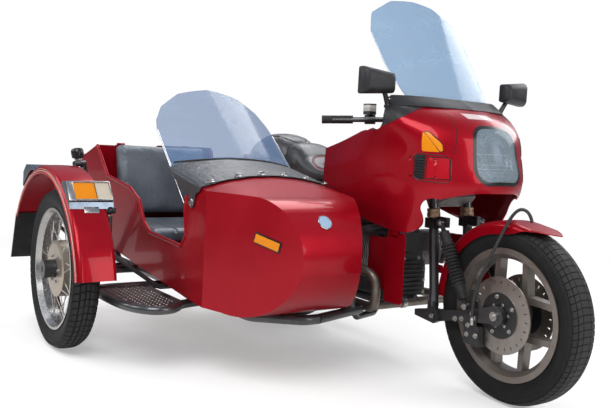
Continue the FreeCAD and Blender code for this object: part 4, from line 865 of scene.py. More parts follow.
springs = {
    # name: node, low end, high end, steps of (along, radius), spring from, spring to, radius, wire, turns, mirrored
    "rearShock": ("rear_shocks", (-10, 132, 372), (42, 132, 704),
                  ((0, 0.009), (20, 0.009), (21, 0.018), (100, 0.018), (101, 0.024), (106, 0.024), (107, 0.012),
                   (268, 0.012), (269, 0.024), (310, 0.020), (311, 0.009), (334, 0.009)),
                  106, 266, 0.0225, 0.0042, 9, True),
    "sideShock": ("side_shock", (60, -1098, 345), (-86.5, -1119.5, 752),
                  ((0, 0.009), (20, 0.009), (21, 0.017), (120, 0.017), (121, 0.026), (127, 0.026), (128, 0.012),
                   (324, 0.012), (325, 0.026), (331, 0.026), (332, 0.019), (410, 0.019), (411, 0.009), (430, 0.009)),
                  127, 325, 0.0245, 0.0042, 10, False),
}


def makeSprings():
    for name, (node, low, high, steps, start, end, radius, wire, turns, mirrored) in springs.items():
        low, high = Vector(low), Vector(high)
        direction = (high - low).normalized()
        bodies, coils = [], []
        for side in ((1, -1) if mirrored else (1,)):
            foot = Vector((low.x, low.y * side, low.z))
            aim = Vector((direction.x, direction.y * side, direction.z))
            profile = [(0, 0)] + [(along / 1000, out) for along, out in steps] + [(steps[-1][0] / 1000, 0)]
            bodies.append(stood(lathe(profile, 32), aimed(aim, at(*foot))))
            coils.append(stood(coil(turns, radius, wire, (end - start) / 1000), aimed(aim, at(*(foot + aim * start)))))
            for point in (low, high) if mirrored else ():
                for wide, deep, across, edge in ((0.014, 0.026, 129, 0.0015), (0.008, 0.036, 100, 0.001)):
                    fitting = bevelled(disc(wide, deep), edge)
                    bodies.append(stood(fitting, aimed((0, side, 0), at(point.x, side * across, point.z))))
        settled(merged(bodies), name + "Bodies", "blackEnamel", "outfit", smooth=30, instead=(node,))
        settled(merged(coils), name + "Springs", "plainSteel" if mirrored else "blackEnamel", "outfit", smooth=60,
                instead=(node,))


makeFrontShocks()
makeSprings()
print("shock absorbers made")

def roundAxle(middle, radius, first, count):
    # places round an axle seen from the side
    turns = [math.radians(first + 360 / count * index) for index in range(count)]
    return [(middle[0] + radius * math.cos(turn), middle[1] + radius * math.sin(turn)) for turn in turns]


def outward(places):
    # the same places on both sides, facing out
    return [((x, side * y, z), (0, side, 0)) for side in (1, -1) for x, y, z in places]


heads = ((1, 765), (-1, 790))
boltRows = {
    # name: body, turned with the bars, radius, height, spots
    "discBolts": ("front_wheel", True, 0.0062, 0.005, outward(
        [(x, 68.3, z) for x, z in roundAxle((1465, 330), 70, 30, 5)])),
    "carrierBolts": ("front_wheel", True, 0.0045, 0.0018, outward(
        [(x, 68.3, z) for x, z in roundAxle((1465, 330), 44, 10, 6)])),
    "forkBolts": ("steering", True, 0.008, 0.006, outward(
        ((1465, 99.8, 330), (1150, 113, 262), (1260, 90.2, 274), (1296, 90.2, 282), (1352, 90.2, 314)))),
    "caliperBolts": ("steering", True, 0.0075, 0.006, outward(
        [(x, 95.2, z) for x, z in ((1336, 268), (1365, 300), (1332, 232), (1378, 236))])),
    "collarBolts": ("steering", True, 0.006, 0.007, [((1090, side * 90, 629), (-1, 0, 0)) for side in (1, -1)]),
    "engineBolts": ("outfit", False, 0.006, 0.006, [
        ((902, side * y, z), (1, 0, 0)) for y, z in ((78, 300), (80, 350), (78, 398), (42, 448)) for side in (-1, 1)]),
    "rockerNuts": ("outfit", False, 0.009, 0.007,
                   [((x, side * 370, 470), (0, side, 0)) for side, x in heads]
                   + [((x + ahead, side * 369, 470), (0, side, 0)) for side, x in heads for ahead in (-58, 58)]),
    "hubNuts": ("sidecar_wheel", False, 0.006, 0.006, [
        ((x, -1286, z), (0, -1, 0)) for x, z in roundAxle((120, 335), 58, 0, 6)]),
    "frameBolts": ("outfit", False, 0.011, 0.008, [((x, -799, 256.5), (0, -1, 0)) for x in (-200, 120, 700)]),
    "fenderBolts": ("outfit", False, 0.006, 0.005, [
        ((x, -1164.6, z), (0, 1, 0)) for x, z in ((400, 560), (400, 585), (-352, 540), (-352, 562))]),
    "lampScrews": ("outfit", False, 0.0035, 0.003, [((337, y, 712), (0.3, 0, 1)) for y in (-1230, -1190)]),
}
for name, row in boltRows.items():
    bolted(name, *row)

collar = ((0, 19.2), (0, 25), (3, 26.5), (17, 26.5), (19, 24), (21, 24), (24, 26), (33, 26), (35, 23), (35, 19.2))
muffler = ((0, 44), (0, 47.5), (3, 49), (15, 49), (18, 47.5), (18, 44))
mufflerEnds = (("Front", (292, 205.2, 252.5)), ("Rear", (-268, 214.5, 288)))
# clamp rings, caps and knobs, all turned about an axis
turnedParts = {
    # name: body, turned with the bars, finish, foot, direction, (along, radius) in millimetres
    **{"legCollar" + name: ("steering", True, "wornBronze", (1112, side * 90, 652), (-0.0727, 0, 0.9974), collar)
       for name, side in sides},
    **{"muffler" + end + name: ("outfit", False, "satinChrome", (x, side * y, z), (-0.997, side * 0.0166, 0.0632),
                                muffler)
       for end, (x, y, z) in mufflerEnds for name, side in sides},
    "crossPipeClamp": ("outfit", False, "plainSteel", (920, -60, 262), (0, 1, 0),
                       ((0, 18), (0, 22), (4, 23), (20, 23), (24, 22), (24, 18))),
    "strutCap": ("outfit", False, "glossBlack", (-118, -1124, 790), (-0.05, -0.15, 1),
                 ((0, 0), (0, 15), (2, 22), (5, 26), (24, 28), (38, 27), (45, 22), (48, 12), (49, 0))),
    "strutNeck": ("outfit", False, "satinChrome", (-115, -1119, 762), (-0.05, -0.15, 1),
                  ((0, 0), (0, 17), (3, 18), (9, 18), (11, 15), (20, 15), (22, 18), (28, 18), (29, 0))),
    "fenderKnob": ("outfit", False, "glossBlack", (388, -1164.6, 607), (0.2, 1, 0),
                   ((0, 0), (0, 14), (3, 17), (15, 17), (20, 14), (24, 15), (30, 13), (33, 8), (34, 0))),
    "wheelCap": ("sidecar_wheel", False, "rubber", (120, -1333.6, 335), (0, -1, 0),
                 ((0, 0), (0, 34), (0.6, 34), (1.6, 32), (2, 24), (1.2, 23), (1.2, 15), (2.2, 14), (2.4, 0))),
    "tankCap": ("outfit", False, "satinChrome", (800, 0, 962), (0, 0, 1),
                ((0, 0), (0, 38), (2, 40), (7, 40), (9, 37), (10, 24), (12, 22), (13, 0))),
    "hoseFoot": ("steering", True, "plainSteel", (1365, -101.6, 276), (0.02, -0.05, 1),
                 ((0, 0), (0, 8), (6, 8.6), (7, 7.6), (16, 7.6), (17, 8.4), (22, 8.4), (24, 6.8), (30, 6.6), (30, 0))),
}
for name, (body, turned, finish, foot, direction, profile) in turnedParts.items():
    piece = lathe([(along / 1000, radius / 1000) for along, radius in profile], 40, profile[0][1] > 0)
    place = (steerTurn if turned else Matrix()) @ aimed(direction, at(*foot))
    settled(piece, name, finish, body, place)
print("bolts, clamps and caps fitted")

lampPlace = moved(1334, 0, 905) @ Matrix.Rotation(math.radians(90 - 17), 4, "Y")
# in lampPlace, +Z runs out through the glass, -X is up and Y is the machine's left
headlamp = {"bowl": 0.090, "rim": 0.098, "depth": -0.056, "front": -0.034, "wide": 0.112, "tall": 0.102}


def makeHeadlamp():
    deep, front, bowl, rim = (headlamp[size] for size in ("depth", "front", "bowl", "rim"))
    reflector = lathe([(deep, 0.004), (deep + 0.001, 0.030), (deep + 0.005, 0.055), (deep + 0.012, 0.074),
                       (front - 0.002, bowl), (front + 0.004, bowl + 0.003), (front + 0.005, rim),
                       (front + 0.001, rim + 0.003), (front, rim + 0.006)], 64)
    applied(reflector, "SOLIDIFY", thickness=0.0012, offset=0)
    # the headlight's reflector, plate and bulb shield wear the chrome darkened as painted shade
    settled(reflector, "lampReflector", "lampMetal", "outfit", lampPlace, 40)
    plate = lathe([(front - 0.001, rim + 0.004), (front - 0.001, rim + 0.010), (front - 0.003, rim + 0.014)], 64)
    for vertex in plate.data.vertices:  # the outer edge follows the lamp's outline
        reach = math.hypot(vertex.co.x, vertex.co.y)
        if reach > rim + 0.008:
            turn = math.atan2(vertex.co.y, vertex.co.x)
            across = math.copysign(abs(math.sin(turn)) ** 0.5, math.sin(turn)) * headlamp["wide"]
            up = math.copysign(abs(math.cos(turn)) ** 0.5, math.cos(turn)) * headlamp["tall"]
            factor = max(1.0, math.hypot(up, across) / reach)
            vertex.co.x, vertex.co.y = vertex.co.x * factor, vertex.co.y * factor
    applied(plate, "SOLIDIFY", thickness=0.002, offset=-1)
    settled(plate, "lampPlate", "lampMetal", "outfit", lampPlace, 30)
    bulb = lathe([(deep, 0), (deep, 0.016), (deep + 0.006, 0.018), (deep + 0.012, 0.014), (deep + 0.026, 0.013),
                  (deep + 0.030, 0.010), (deep + 0.032, 0)], 24)
    settled(bulb, "lampBulbShield", "lampMetal", "outfit", lampPlace, 35)
    # upright flutes moulded behind the glass, coloured white as painted highlights on the glass
    rib = block((0.0016, 0.200, 0.0012), (0, 0, front + 0.0075))
    bevelled(rib, 0.0005, 1)
    places = [Matrix.Translation((offset, 0, 0)) for offset in (-0.012, 0.030, 0.046, 0.058)]
    settled(copied(rib, places), "lampHighlightLines", "whitePaint", "outfit", lampPlace, 30)


makeHeadlamp()

both = ("fairing", "fairing_vents")
peeled(("fairing",), [(at(0, -90, 1050), (0, 1, 0.25)), *within(1, None, 42), *within(2, 1039, 1059), *within(0, 1150)],
       Vector((1, 0, 0.25)), 0.0008, "plainStrip", "wornStrip")
for name, side in sides:
    flank, ours = Vector((0.4, side, 0)), (at(0, 0, 0), (0, side, 0))
    peeled(("fairing_vents",), [ours], flank, 0.0006, "ventFill" + name, "redPaint")
    peeled(both, [ours, *within(0, 1181, 1219), *within(2, 805, 895)], flank, 0.0010, "ventBack" + name, "glossBlack")
    # the vent door's lighter red is a painted highlight
    for label, back, front, low, high, lift, finish in (
            ("doorShadow", 1223, 1292, 808, 889, 0.0010, "glossBlack"),
            ("ventDoor", 1226, 1289, 811, 886, 0.0024, "redDoor")):
        peeled(both, [ours, *within(0, back), (at(front, 0, 850), (-1, 0, -0.12)), *within(2, low, high)],
               flank, lift, label + name, finish)
    peeled(("fairing",), [ours, (at(987, side * 325, 979), (-0.282, side * 0.37, 0.885)), *within(0, 985, 1146)],
           Vector((0, side * 0.9, 0.5)), 0.0012, "cheek" + name, "blackPlastic")
    across = Vector((0, side * 0.978, 0.2095))
    seam, half = at(0, side * 150, 1073), across * 0.0011
    peeled(("fairing",), [ours, (seam - half, across), (seam + half, -across), *within(2, 905), *within(0, 1160)],
           Vector((1, side * 0.5, 0.2)), 0.0003, "noseSeam" + name, "glossBlack")


def makeLouvres():
    skin = surfaceOf(frame["nodes"]["fairing_vents"])
    slats = []
    for side in (1, -1):
        for index in range(8):
            height = 813 + 10.6 * index
            place, normal = skin.ray_cast(at(1200, side * 400, height), Vector((0, -side, 0)))[:2]
            if place is None:
                continue
            heading = math.atan2(normal.y, normal.x) - side * math.pi / 2
            tilt = Matrix.Rotation(heading, 4, "Z") @ Matrix.Rotation(side * 0.5, 4, "X")
            slat = bevelled(block((0.037, 0.007, 0.0040)), 0.0008, 1)
            slats.append(stood(slat, Matrix.Translation(place) @ tilt))
    settled(merged(slats), "ventLouvres", "glossBlack", "outfit")


makeLouvres()


def makeTrimScrews():
    skin = surfaceOf(frame["nodes"]["cockpit_trim"])
    spots = []
    for across, ahead in ((-160, 1118), (-62, 1150), (-14, 1154), (62, 1150), (160, 1118)):
        place, normal = skin.find_nearest(at(ahead, across, 1102))[:2]
        spots.append(aimed(Vector((0.45, across / 900, 0.88)), place))
    head = lathe([(0, 0), (0, 0.0065), (0.0015, 0.0065), (0.003, 0.005), (0.0034, 0.0015), (0.0026, 0.0012),
                  (0.0026, 0)], 20)
    settled(copied(head, spots), "trimScrews", "plainSteel", "outfit")


makeTrimScrews()


def makeBadge():
    # a plain roundel on the sidecar's nose
    skin = surfaceOf(frame["nodes"]["sidecar_body"])
    place, normal = skin.find_nearest(at(1140, -633, 651))[:2]
    if normal.dot(Vector((1, 0, 0.5))) < 0:
        normal = -normal
    rim = lathe([(-0.002, 0.026), (0.002, 0.0285), (0.0045, 0.027), (0.0045, 0.025), (0.003, 0.0245), (-0.002, 0.0245)],
                48, True)
    settled(rim, "badgeRim", "chrome", "outfit", aimed(normal, place))
    face = lathe([(-0.002, 0), (-0.002, 0.0247), (0.003, 0.0247), (0.0042, 0.018), (0.0046, 0)], 48)
    settled(face, "badgeFace", "badgeEnamel", "outfit", aimed(normal, place))


makeBadge()
print("fairing and nose dressed")

screens = {
    # radius, place of the middle, lean back in degrees, shift across
    "sideScreen": (661, 942, 48.85, -618),
    "windshield": (820, 1536, 34.47, 0),
}


def onScreen(name, across, up, inset=2.0):
    radius, middle, lean, shift = screens[name]
    ahead = middle - radius + math.sqrt((radius - inset) ** 2 - across ** 2)
    lean = math.radians(lean)
    x, z = ahead * math.cos(lean) - up * math.sin(lean), ahead * math.sin(lean) + up * math.cos(lean)
    return at(x, across + shift, z)


# the cover over the sidecar's nose: how round, its highest line, where it starts, how long and how much it falls
cover = {"crown": 1017.8, "top": 834, "middle": -622.3, "back": 440, "long": 305, "fall": 58, "left": -310.3,
         "right": -934.3, "columns": 56, "rows": 84, "flapRows": 10, "thick": 0.0022, "scallop": 7.0,
         "buttons": (-886, -770, -664, -556, -448, -350), "buttonLine": 722, "flat": (0.86, 0.34), "area": 0.209,
         "lower": ((440, 785), (480, 776), (560, 702), (640, 700), (648, 664), (656, 646), (668, 641), (682, 646),
                   (691, 662), (700, 700), (735, 712), (745, 727))}


def coverDrop(x):
    return cover["fall"] * (x - cover["back"]) / cover["long"]


def coverHeight(x, y):
    bend = cover["crown"]
    return cover["top"] - bend + math.sqrt(bend ** 2 - (y - cover["middle"]) ** 2) - coverDrop(x)


def makeScreenTrim():
    for name, side in sides:
        edge = [onScreen("sideScreen", side * across, up) for across, up in (
            (300, -10), (298.5, 60), (296, 160), (293.5, 260), (291, 360), (289.5, 425))]
        tube("screenEdge" + name, edge, 0.0042, "chrome")
    foot = []
    for step in range(-28, 29):
        across = step * 10.0
        low, high = -60.0, 400.0
        for turn in range(24):
            up = (low + high) / 2
            place = onScreen("sideScreen", across, up) - drawnOrigin
            if place.z * 1000 > coverHeight(place.x * 1000, place.y * 1000) + 4:
                high = up
            else:
                low = up
        foot.append(onScreen("sideScreen", across, high))
    tube("screenFoot", foot, 0.0055, "rubber")
    rim = [onScreen("windshield", across, up) for across, up in (
        (240, 384), (249, 432), (258, 480), (259, 540), (260.5, 600), (261.5, 655))]
    middle = drawnOrigin.y
    for name, side in sides:
        line = [Vector((point.x, side * (point.y - middle) + middle, point.z)) for point in rim]
        tube("shieldEdge" + name, line, 0.0024, "smokedEdge")


makeScreenTrim()


shield = {"wide": ((222, 284), (240, 384), (258, 480), (261.5, 655)),
          "tall": ((0, 817), (120, 807), (230, 746), (261.5, 659)),
          "foot": 1113, "columns": 48, "rows": 24, "half": 261.5,
          "base": {1076: ((1197, 0), (1178, 130), (1131, 247), (1070, 313)),
                   1092: ((1172, 0), (1154, 130), (1114, 244), (1055, 305)),
                   1106: ((1141, 0), (1127, 130), (1095, 240), (1040, 296)),
                   1117: ((1120, 0), (1109, 130), (1081, 237), (1030, 289))}}


def between(pairs, value):
    # straight-line reading of a table of value, result
    for (first, low), (second, high) in zip(pairs, pairs[1:]):
        if value <= second:
            return low + (high - low) * max(0.0, (value - first) / (second - first))
    return pairs[-1][1]


def sheetMesh(name, rows):
    work = bmesh.new()
    quads(work, [[work.verts.new(point) for point in row] for row in rows])
    return facedOut(meshOf(name, work))


def makeShield():
    radius, middle, lean, shift = screens["windshield"]
    lean = math.radians(lean)
    columns = []
    for step in range(-shield["columns"] // 2, shield["columns"] // 2 + 1):
        across = shield["half"] * math.sin(math.pi * step / shield["columns"])
        ahead = middle - radius + math.sqrt((radius - 2) ** 2 - across ** 2)
        low = (shield["foot"] - ahead * math.sin(lean)) / math.cos(lean)
        if abs(across) > shield["wide"][0][0]:
            low = max(low, between(shield["wide"], abs(across)))
        high = max(low + 2, between(shield["tall"], abs(across)))
        columns.append([onScreen("windshield", across, low + (high - low) * row / shield["rows"])
                        for row in range(shield["rows"] + 1)])
    screen = sheetMesh("windscreen", columns)
    applied(screen, "SOLIDIFY", thickness=0.004, offset=0)
    settled(screen, "windscreen", "screen", "outfit", smooth=50, instead=("windshield",))
    rows = []
    for height, line in shield["base"].items():
        half = []
        for step in range(25):
            across = line[-1][1] * step / 24
            # smooth run through the four places of the row
            ahead = sum(x * math.prod((across - other) / (y - other) for _, other in line if other != y)
                        for x, y in line)
            half.append((ahead, across))
        rows.append([at(x, -y, height) for x, y in reversed(half[1:])] + [at(x, y, height) for x, y in half])
    base = sheetMesh("screenBase", rows)
    if sum(face.normal.x for face in base.data.polygons) < 0:
        editing(base, lambda face: True)
        bpy.ops.mesh.flip_normals()
        done()
    applied(base, "SUBSURF", levels=1)
    applied(base, "SOLIDIFY", thickness=0.004, offset=0.4)
    settled(base, "screenBase", "blackPlastic", "outfit", smooth=50)


makeShield()
print("screens done")


mirrorShape = {"place": {-1: (1060, -383, 1161), 1: (1060, 381.5, 1176)}, "deep": 0.036, "wide": 0.150,
               "tall": 0.104, "innerShare": 0.72, "border": 0.026}


def narrowed(piece, side):
    # the inner end is lower
    editing(piece, lambda face: face.normal.y * side < -0.9)
    bpy.ops.transform.resize(value=(1, 1, mirrorShape["innerShare"]), center_override=(0, 0, -0.008))
    done()


def makeMirrors():
    cases, glasses, stalks = [], [], []
    for side in (-1, 1):
        case = block((mirrorShape["deep"], mirrorShape["wide"], mirrorShape["tall"]))
        narrowed(case, side)
        editing(case, lambda face: face.normal.x > 0.9)  # the back is domed
        bpy.ops.mesh.inset(thickness=0.016, depth=0.020)
        done()
        bevelled(case, 0.009, 4, 20)
        editing(case, lambda face: face.normal.x < -0.98)  # the glass sits in a lip
        bpy.ops.mesh.inset(thickness=0.005, depth=-0.004)
        done()
        place = moved(*mirrorShape["place"][side]) @ Matrix.Rotation(side * 0.10, 4, "Z")
        cases.append(stood(case, place))
        border = mirrorShape["border"]
        glass = block((0.0016, mirrorShape["wide"] - border, mirrorShape["tall"] - border), (-0.0150, 0, 0))
        narrowed(glass, side)
        glasses.append(stood(bevelled(glass, 0.0007, 1), place))
        stalk = lathe([(0, 0), (0, 0.017), (0.006, 0.016), (0.012, 0.011), (0.045, 0.0095), (0.070, 0.010),
                       (0.082, 0.012), (0.084, 0)], 24)
        stalks.append(stood(stalk, aimed((10, side * 38, 66), at(1050, side * 310, 1073))))
    settled(merged(cases), "mirrorCases", "blackPlastic", "outfit", smooth=40, instead=("mirrors",))
    settled(merged(glasses), "mirrorGlasses", "mirrorFace", "outfit")
    settled(merged(stalks), "mirrorStalks", "glossBlack", "outfit", instead=("mirrors",))


def makeDials():
    rims, faces, marks = [], [], []
    for across in (-62, 62):
        place = aimed((-1, 0, 0.0), at(1062, across, 1058))
        rim = [(0, 0.019), (0, 0.0215), (0.004, 0.0215), (0.006, 0.020), (0.006, 0.0185), (0.003, 0.018)]
        rims.append(stood(lathe(rim, 36, True), place))
        faces.append(stood(lathe([(0, 0), (0, 0.019), (0.0025, 0.019), (0.0027, 0)], 36), place))
        for index in range(11):
            mark = block((0.0008, 0.0035, 0.0006), (0, 0.0155, 0.0031))
            marks.append(stood(mark, place @ Matrix.Rotation(math.radians(-125 + 25 * index), 4, "Z")))
        needle = bevelled(block((0.0012, 0.015, 0.0008), (0, 0.005, 0.0036)), 0.0003, 1)
        marks.append(stood(needle, place @ Matrix.Rotation(math.radians(-125), 4, "Z")))
    settled(merged(rims), "dialRims", "satinChrome", "outfit")
    settled(merged(faces), "dialFaces", "dialFace", "outfit")
    settled(merged(marks), "dialMarks", "dialMark", "outfit")


def makeGrips():
    bars = (Vector((766, 406, 1028)), Vector((903, 211, 1034)))
    profile = [(-0.005, 0), (-0.005, 0.0165), (-0.001, 0.017)]
    for index in range(24):
        start = 0.004 + index * 0.0046
        profile += [(start, 0.017), (start + 0.0028, 0.017), (start + 0.0032, 0.0158), (start + 0.0042, 0.0158)]
    profile += [(0.116, 0.017), (0.122, 0.017), (0.123, 0.0113)]
    grips = []
    for side in (1, -1):
        foot, end = (Vector((point.x, side * point.y, point.z)) for point in bars)
        grips.append(stood(lathe(profile, 32), aimed(end - foot, at(*foot))))
    settled(merged(grips), "ribbedGrips", "rubber", "steering", steerTurn, 40, ("hand_grips",))


makeMirrors()
makeDials()
makeGrips()
print("cockpit fitted")

def plumped(piece, cap, pressure=4.0, voxel=0.006):
    # even mesh, then cloth blown up from inside, with how far it may swell capped
    applied(piece, "REMESH", mode="VOXEL", voxel_size=voxel)
    before = [vertex.co.copy() for vertex in piece.data.vertices]
    only(piece)
    modifier = piece.modifiers.new("cloth", "CLOTH")
    modifier.settings.quality = 4
    modifier.settings.use_pressure = True
    modifier.settings.uniform_pressure_force = pressure
    modifier.settings.effector_weights.gravity = 0
    modifier.point_cache.frame_start, modifier.point_cache.frame_end = 1, 20
    for number in range(1, 21):
        bpy.context.scene.frame_set(number)
    bpy.ops.object.modifier_apply(modifier=modifier.name)
    bpy.context.scene.frame_set(1)
    for vertex, was in zip(piece.data.vertices, before):
        swell = vertex.co - was
        if swell.length > cap:
            vertex.co = was + swell * (cap / swell.length)
    applied(piece, "SUBSURF", levels=1, render_levels=1)
    return piece


def lofted(rings):
    # closed skin through rings of the same number of points
    work = bmesh.new()
    grid = [[work.verts.new(point) for point in ring] for ring in rings]
    quads(work, grid, True)
    work.faces.new(reversed(grid[0]))
    work.faces.new(grid[-1])
    bmesh.ops.recalc_face_normals(work, faces=work.faces[:])
    return meshOf("loft", work)


def smoothStations(stations, steps):
    # stations eased between the given ones
    found = []
    for index in range(len(stations) - 1):
        p0, p1, p2 = stations[max(index - 1, 0)], stations[index], stations[index + 1]
        p3 = stations[min(index + 2, len(stations) - 1)]
        for step in range(steps):
            t = step / steps
            found.append(tuple(0.5 * (2 * b + (c - a) * t + (2 * a - 5 * b + 4 * c - d) * t * t
                                      + (3 * b - a - 3 * c + d) * t * t * t) for a, b, c, d in zip(p0, p1, p2, p3)))
    return found + [tuple(stations[-1])]


cushions = {
    # name: stations of (forward, half width, top), bottom, swell
    "riderSaddle": (((558, 84, 792), (520, 108, 806), (480, 118, 810), (400, 129, 798), (300, 131, 808),
                     (225, 131, 840), (190, 130, 866), (130, 127, 905), (70, 121, 915), (36, 112, 888)), 745, 0.008),
    "pillionSeat": (((24, 104, 880), (6, 112, 915), (-30, 118, 940), (-60, 120, 950), (-140, 120, 957),
                     (-230, 117, 940), (-310, 106, 904), (-344, 94, 860)), 745, 0.007),
}
# half of a saddle's section, from the middle of the top: share of the width, share of the height down or up
saddleHalf = ((0, 0), (0.25, 0.004), (0.45, 0.018), (0.66, 0.05), (0.84, 0.12), (0.94, 0.24), (1, 0.4))


def makeSaddle(name):
    stations, bottom, swell = cushions[name]
    rings = []
    for x, wide, top in smoothStations(stations, 4):
        rise = top - bottom
        half = [(out * wide, top - rise * down) for out, down in saddleHalf]
        half += [(wide, bottom + rise * 0.3), (0.98 * wide, bottom), (0.5 * wide, bottom)]
        ring = [(y, z) for y, z in half] + [(0, bottom)] + [(-y, z) for y, z in reversed(half[1:])]
        rings.append([at(x, y, z) for y, z in ring])
    return plumped(lofted(rings), swell)


def grooved(piece, path, width, depth, minimum=0.0):
    # presses a sewn line down into the upper side along a path
    spots = []
    for first, second in zip(path, path[1:]):
        first, second = Vector((*first[:2], 0)), Vector((*second[:2], 0))
        count = max(1, int((second - first).length / 0.0012))
        spots += [first.lerp(second, step / count) for step in range(count)]
    tree = KDTree(len(spots))
    for index, spot in enumerate(spots):
        tree.insert(spot, index)
    tree.balance()
    for vertex in piece.data.vertices:
        if vertex.normal.z < 0.15 or vertex.co.z < minimum:
            continue
        place, index, near = tree.find(Vector((vertex.co.x, vertex.co.y, 0)))
        if near < width:
            vertex.co -= vertex.normal * (depth * (1 - (near / width) ** 2) ** 2)


def beadOn(piece, path, name, radius, finish, lift=0.0, loop=False):
    # piping that follows the cushion's own skin under a path seen from above
    skin = surfaceOf(piece)
    points = []
    for x, y in path:
        place, normal = skin.ray_cast(Vector((x, y, 3.0)), Vector((0, 0, -1)))[:2]
        if place is not None:
            points.append(place + normal * lift)
    return tube(name, points, radius, finish, 2, loop)


def fromAbove(x, y):
    return tuple(at(x, y, 0)[:2])


def ovalPath(middle, long, wide, steps=72, square=2.6):
    path = []
    for index in range(steps):
        turn = 2 * math.pi * index / steps
        ahead = math.copysign(abs(math.cos(turn)) ** (2 / square), math.cos(turn)) * long
        across = math.copysign(abs(math.sin(turn)) ** (2 / square), math.sin(turn)) * wide
        path.append(fromAbove(middle[0] + ahead, middle[1] + across))
    return path


def makeSeats():
    saddle = makeSaddle("riderSaddle")
    outer = ovalPath((372, 0), 158, 104)
    inner = ovalPath((372, 0), 100, 60)
    bar = [fromAbove(x, y) for x, y in ((452, -52), (450, 0), (452, 52))]
    stem = [fromAbove(x, 0) for x in (450, 400, 350, 300)]
    grooved(saddle, outer + outer[:1], 0.009, 0.0035)
    for line in (inner + inner[:1], bar, stem):
        grooved(saddle, line, 0.008, 0.004)
    beadOn(saddle, outer, "saddlePiping", 0.0026, "pipingRed", 0.0008, True)
    settled(saddle, "riderSaddle", "seatVinyl", "outfit", smooth=60, instead=("saddle",))
    pillion = makeSaddle("pillionSeat")
    outer = ovalPath((-150, 0), 160, 92)
    grooved(pillion, outer + outer[:1], 0.009, 0.0035)
    for x in (-60, -120, -180, -240):
        grooved(pillion, [fromAbove(x, y) for y in (-72, 0, 72)], 0.008, 0.0035)
    beadOn(pillion, outer, "pillionPiping", 0.0026, "pipingGrey", 0.0008, True)
    settled(pillion, "pillionSeat", "seatVinyl", "outfit", smooth=60, instead=("saddle",))
    pad = bevelled(block((0.500, 0.532, 0.058)), 0.022, 3)
    plumped(fixed(stood(pad, moved(-64, -622, 463))), 0.008)
    for y in (-760, -622, -484):
        grooved(pad, [fromAbove(x, y) for x in (-220, 0, 170)], 0.010, 0.005, at(0, 0, 480).z)
    settled(pad, "seatPad", "sideVinyl", "outfit", smooth=60, instead=("side_seat",))
    back = bevelled(block((0.070, 0.488, 0.358), (0, 0, 0.186)), 0.024, 3)
    plumped(fixed(stood(back, moved(-318, -611, 501) @ Matrix.Rotation(math.radians(-9), 4, "Y"))), 0.008)
    settled(back, "seatBack", "sideVinyl", "outfit", smooth=60, instead=("side_seat",))


makeSeats()
print("cushions made")

def wrinkle(x, y, z):
    # soft waves, a few cross folds, and pleats that run out from each button
    spot = Vector((x / 70, y / 150, z / 90))
    height = 1.6 * fractal.noise(spot) + 0.9 * fractal.noise(spot * 2.7 + Vector((7, 3, 1)))
    ridge = 1.3 * (0.5 - abs(fractal.noise(Vector((x / 150 + 4, y / 32, z / 60)))))
    for button in cover["buttons"]:
        ahead, across = x - cover["buttonLine"], y - button
        away = math.hypot(ahead, across)
        height += 1.1 * math.cos(5 * math.atan2(across, ahead)) * math.exp(-away / 26) * min(away / 12, 1)
    return height + ridge


def coverSheet():
    work = bmesh.new()
    grid = []
    left, right = cover["left"], cover["right"]
    for i in range(cover["columns"] + 1):
        x = cover["back"] + cover["long"] * i / cover["columns"]
        edge = ((x - cover["back"]) / cover["long"]) ** 8
        column = []
        for j in range(cover["rows"] + 1):
            y = left + (right - left) * j / cover["rows"]
            z = coverHeight(x, y)
            nearest = min(abs(y - button) for button in cover["buttons"])
            scallop = cover["scallop"] * edge * min(nearest / 45, 1) ** 1.4
            lift = wrinkle(x, y, z) + 1.4
            if j > cover["rows"] - 4:
                lift *= 0.6
            column.append(Vector((x - scallop, y, z + lift - 1.5 * edge)))
        top, bottom = 785 - coverDrop(x), between(cover["lower"], x)
        for k in range(1, cover["flapRows"] + 1):
            share = k / cover["flapRows"]
            z = top + (min(bottom, top - 1.2) - top) * share
            out = 0.9 * wrinkle(x, -930, z) * share
            column.append(Vector((x, right - max(-1.0, out) - 1.0 * share, z)))
        grid.append([work.verts.new(at(*point)) for point in column])
    quads(work, grid)
    bmesh.ops.remove_doubles(work, verts=work.verts[:], dist=0.0004)
    bmesh.ops.smooth_vert(work, verts=[v for v in work.verts if not v.is_boundary], factor=0.5, use_axis_x=True,
                          use_axis_y=True, use_axis_z=True)
    bmesh.ops.recalc_face_normals(work, faces=work.faces[:])
    if sum(face.normal.z * face.calc_area() for face in work.faces) < 0:
        bmesh.ops.reverse_faces(work, faces=work.faces[:])
    piece = meshOf("noseCover", work)
    skin = surfaceOf(piece)
    applied(piece, "SOLIDIFY", thickness=cover["thick"], offset=1)
    applied(piece, "SUBSURF", levels=1, render_levels=1)
    settled(piece, "noseCover", "coverVinyl", "outfit", smooth=60, instead=("apron",))
    return piece, skin


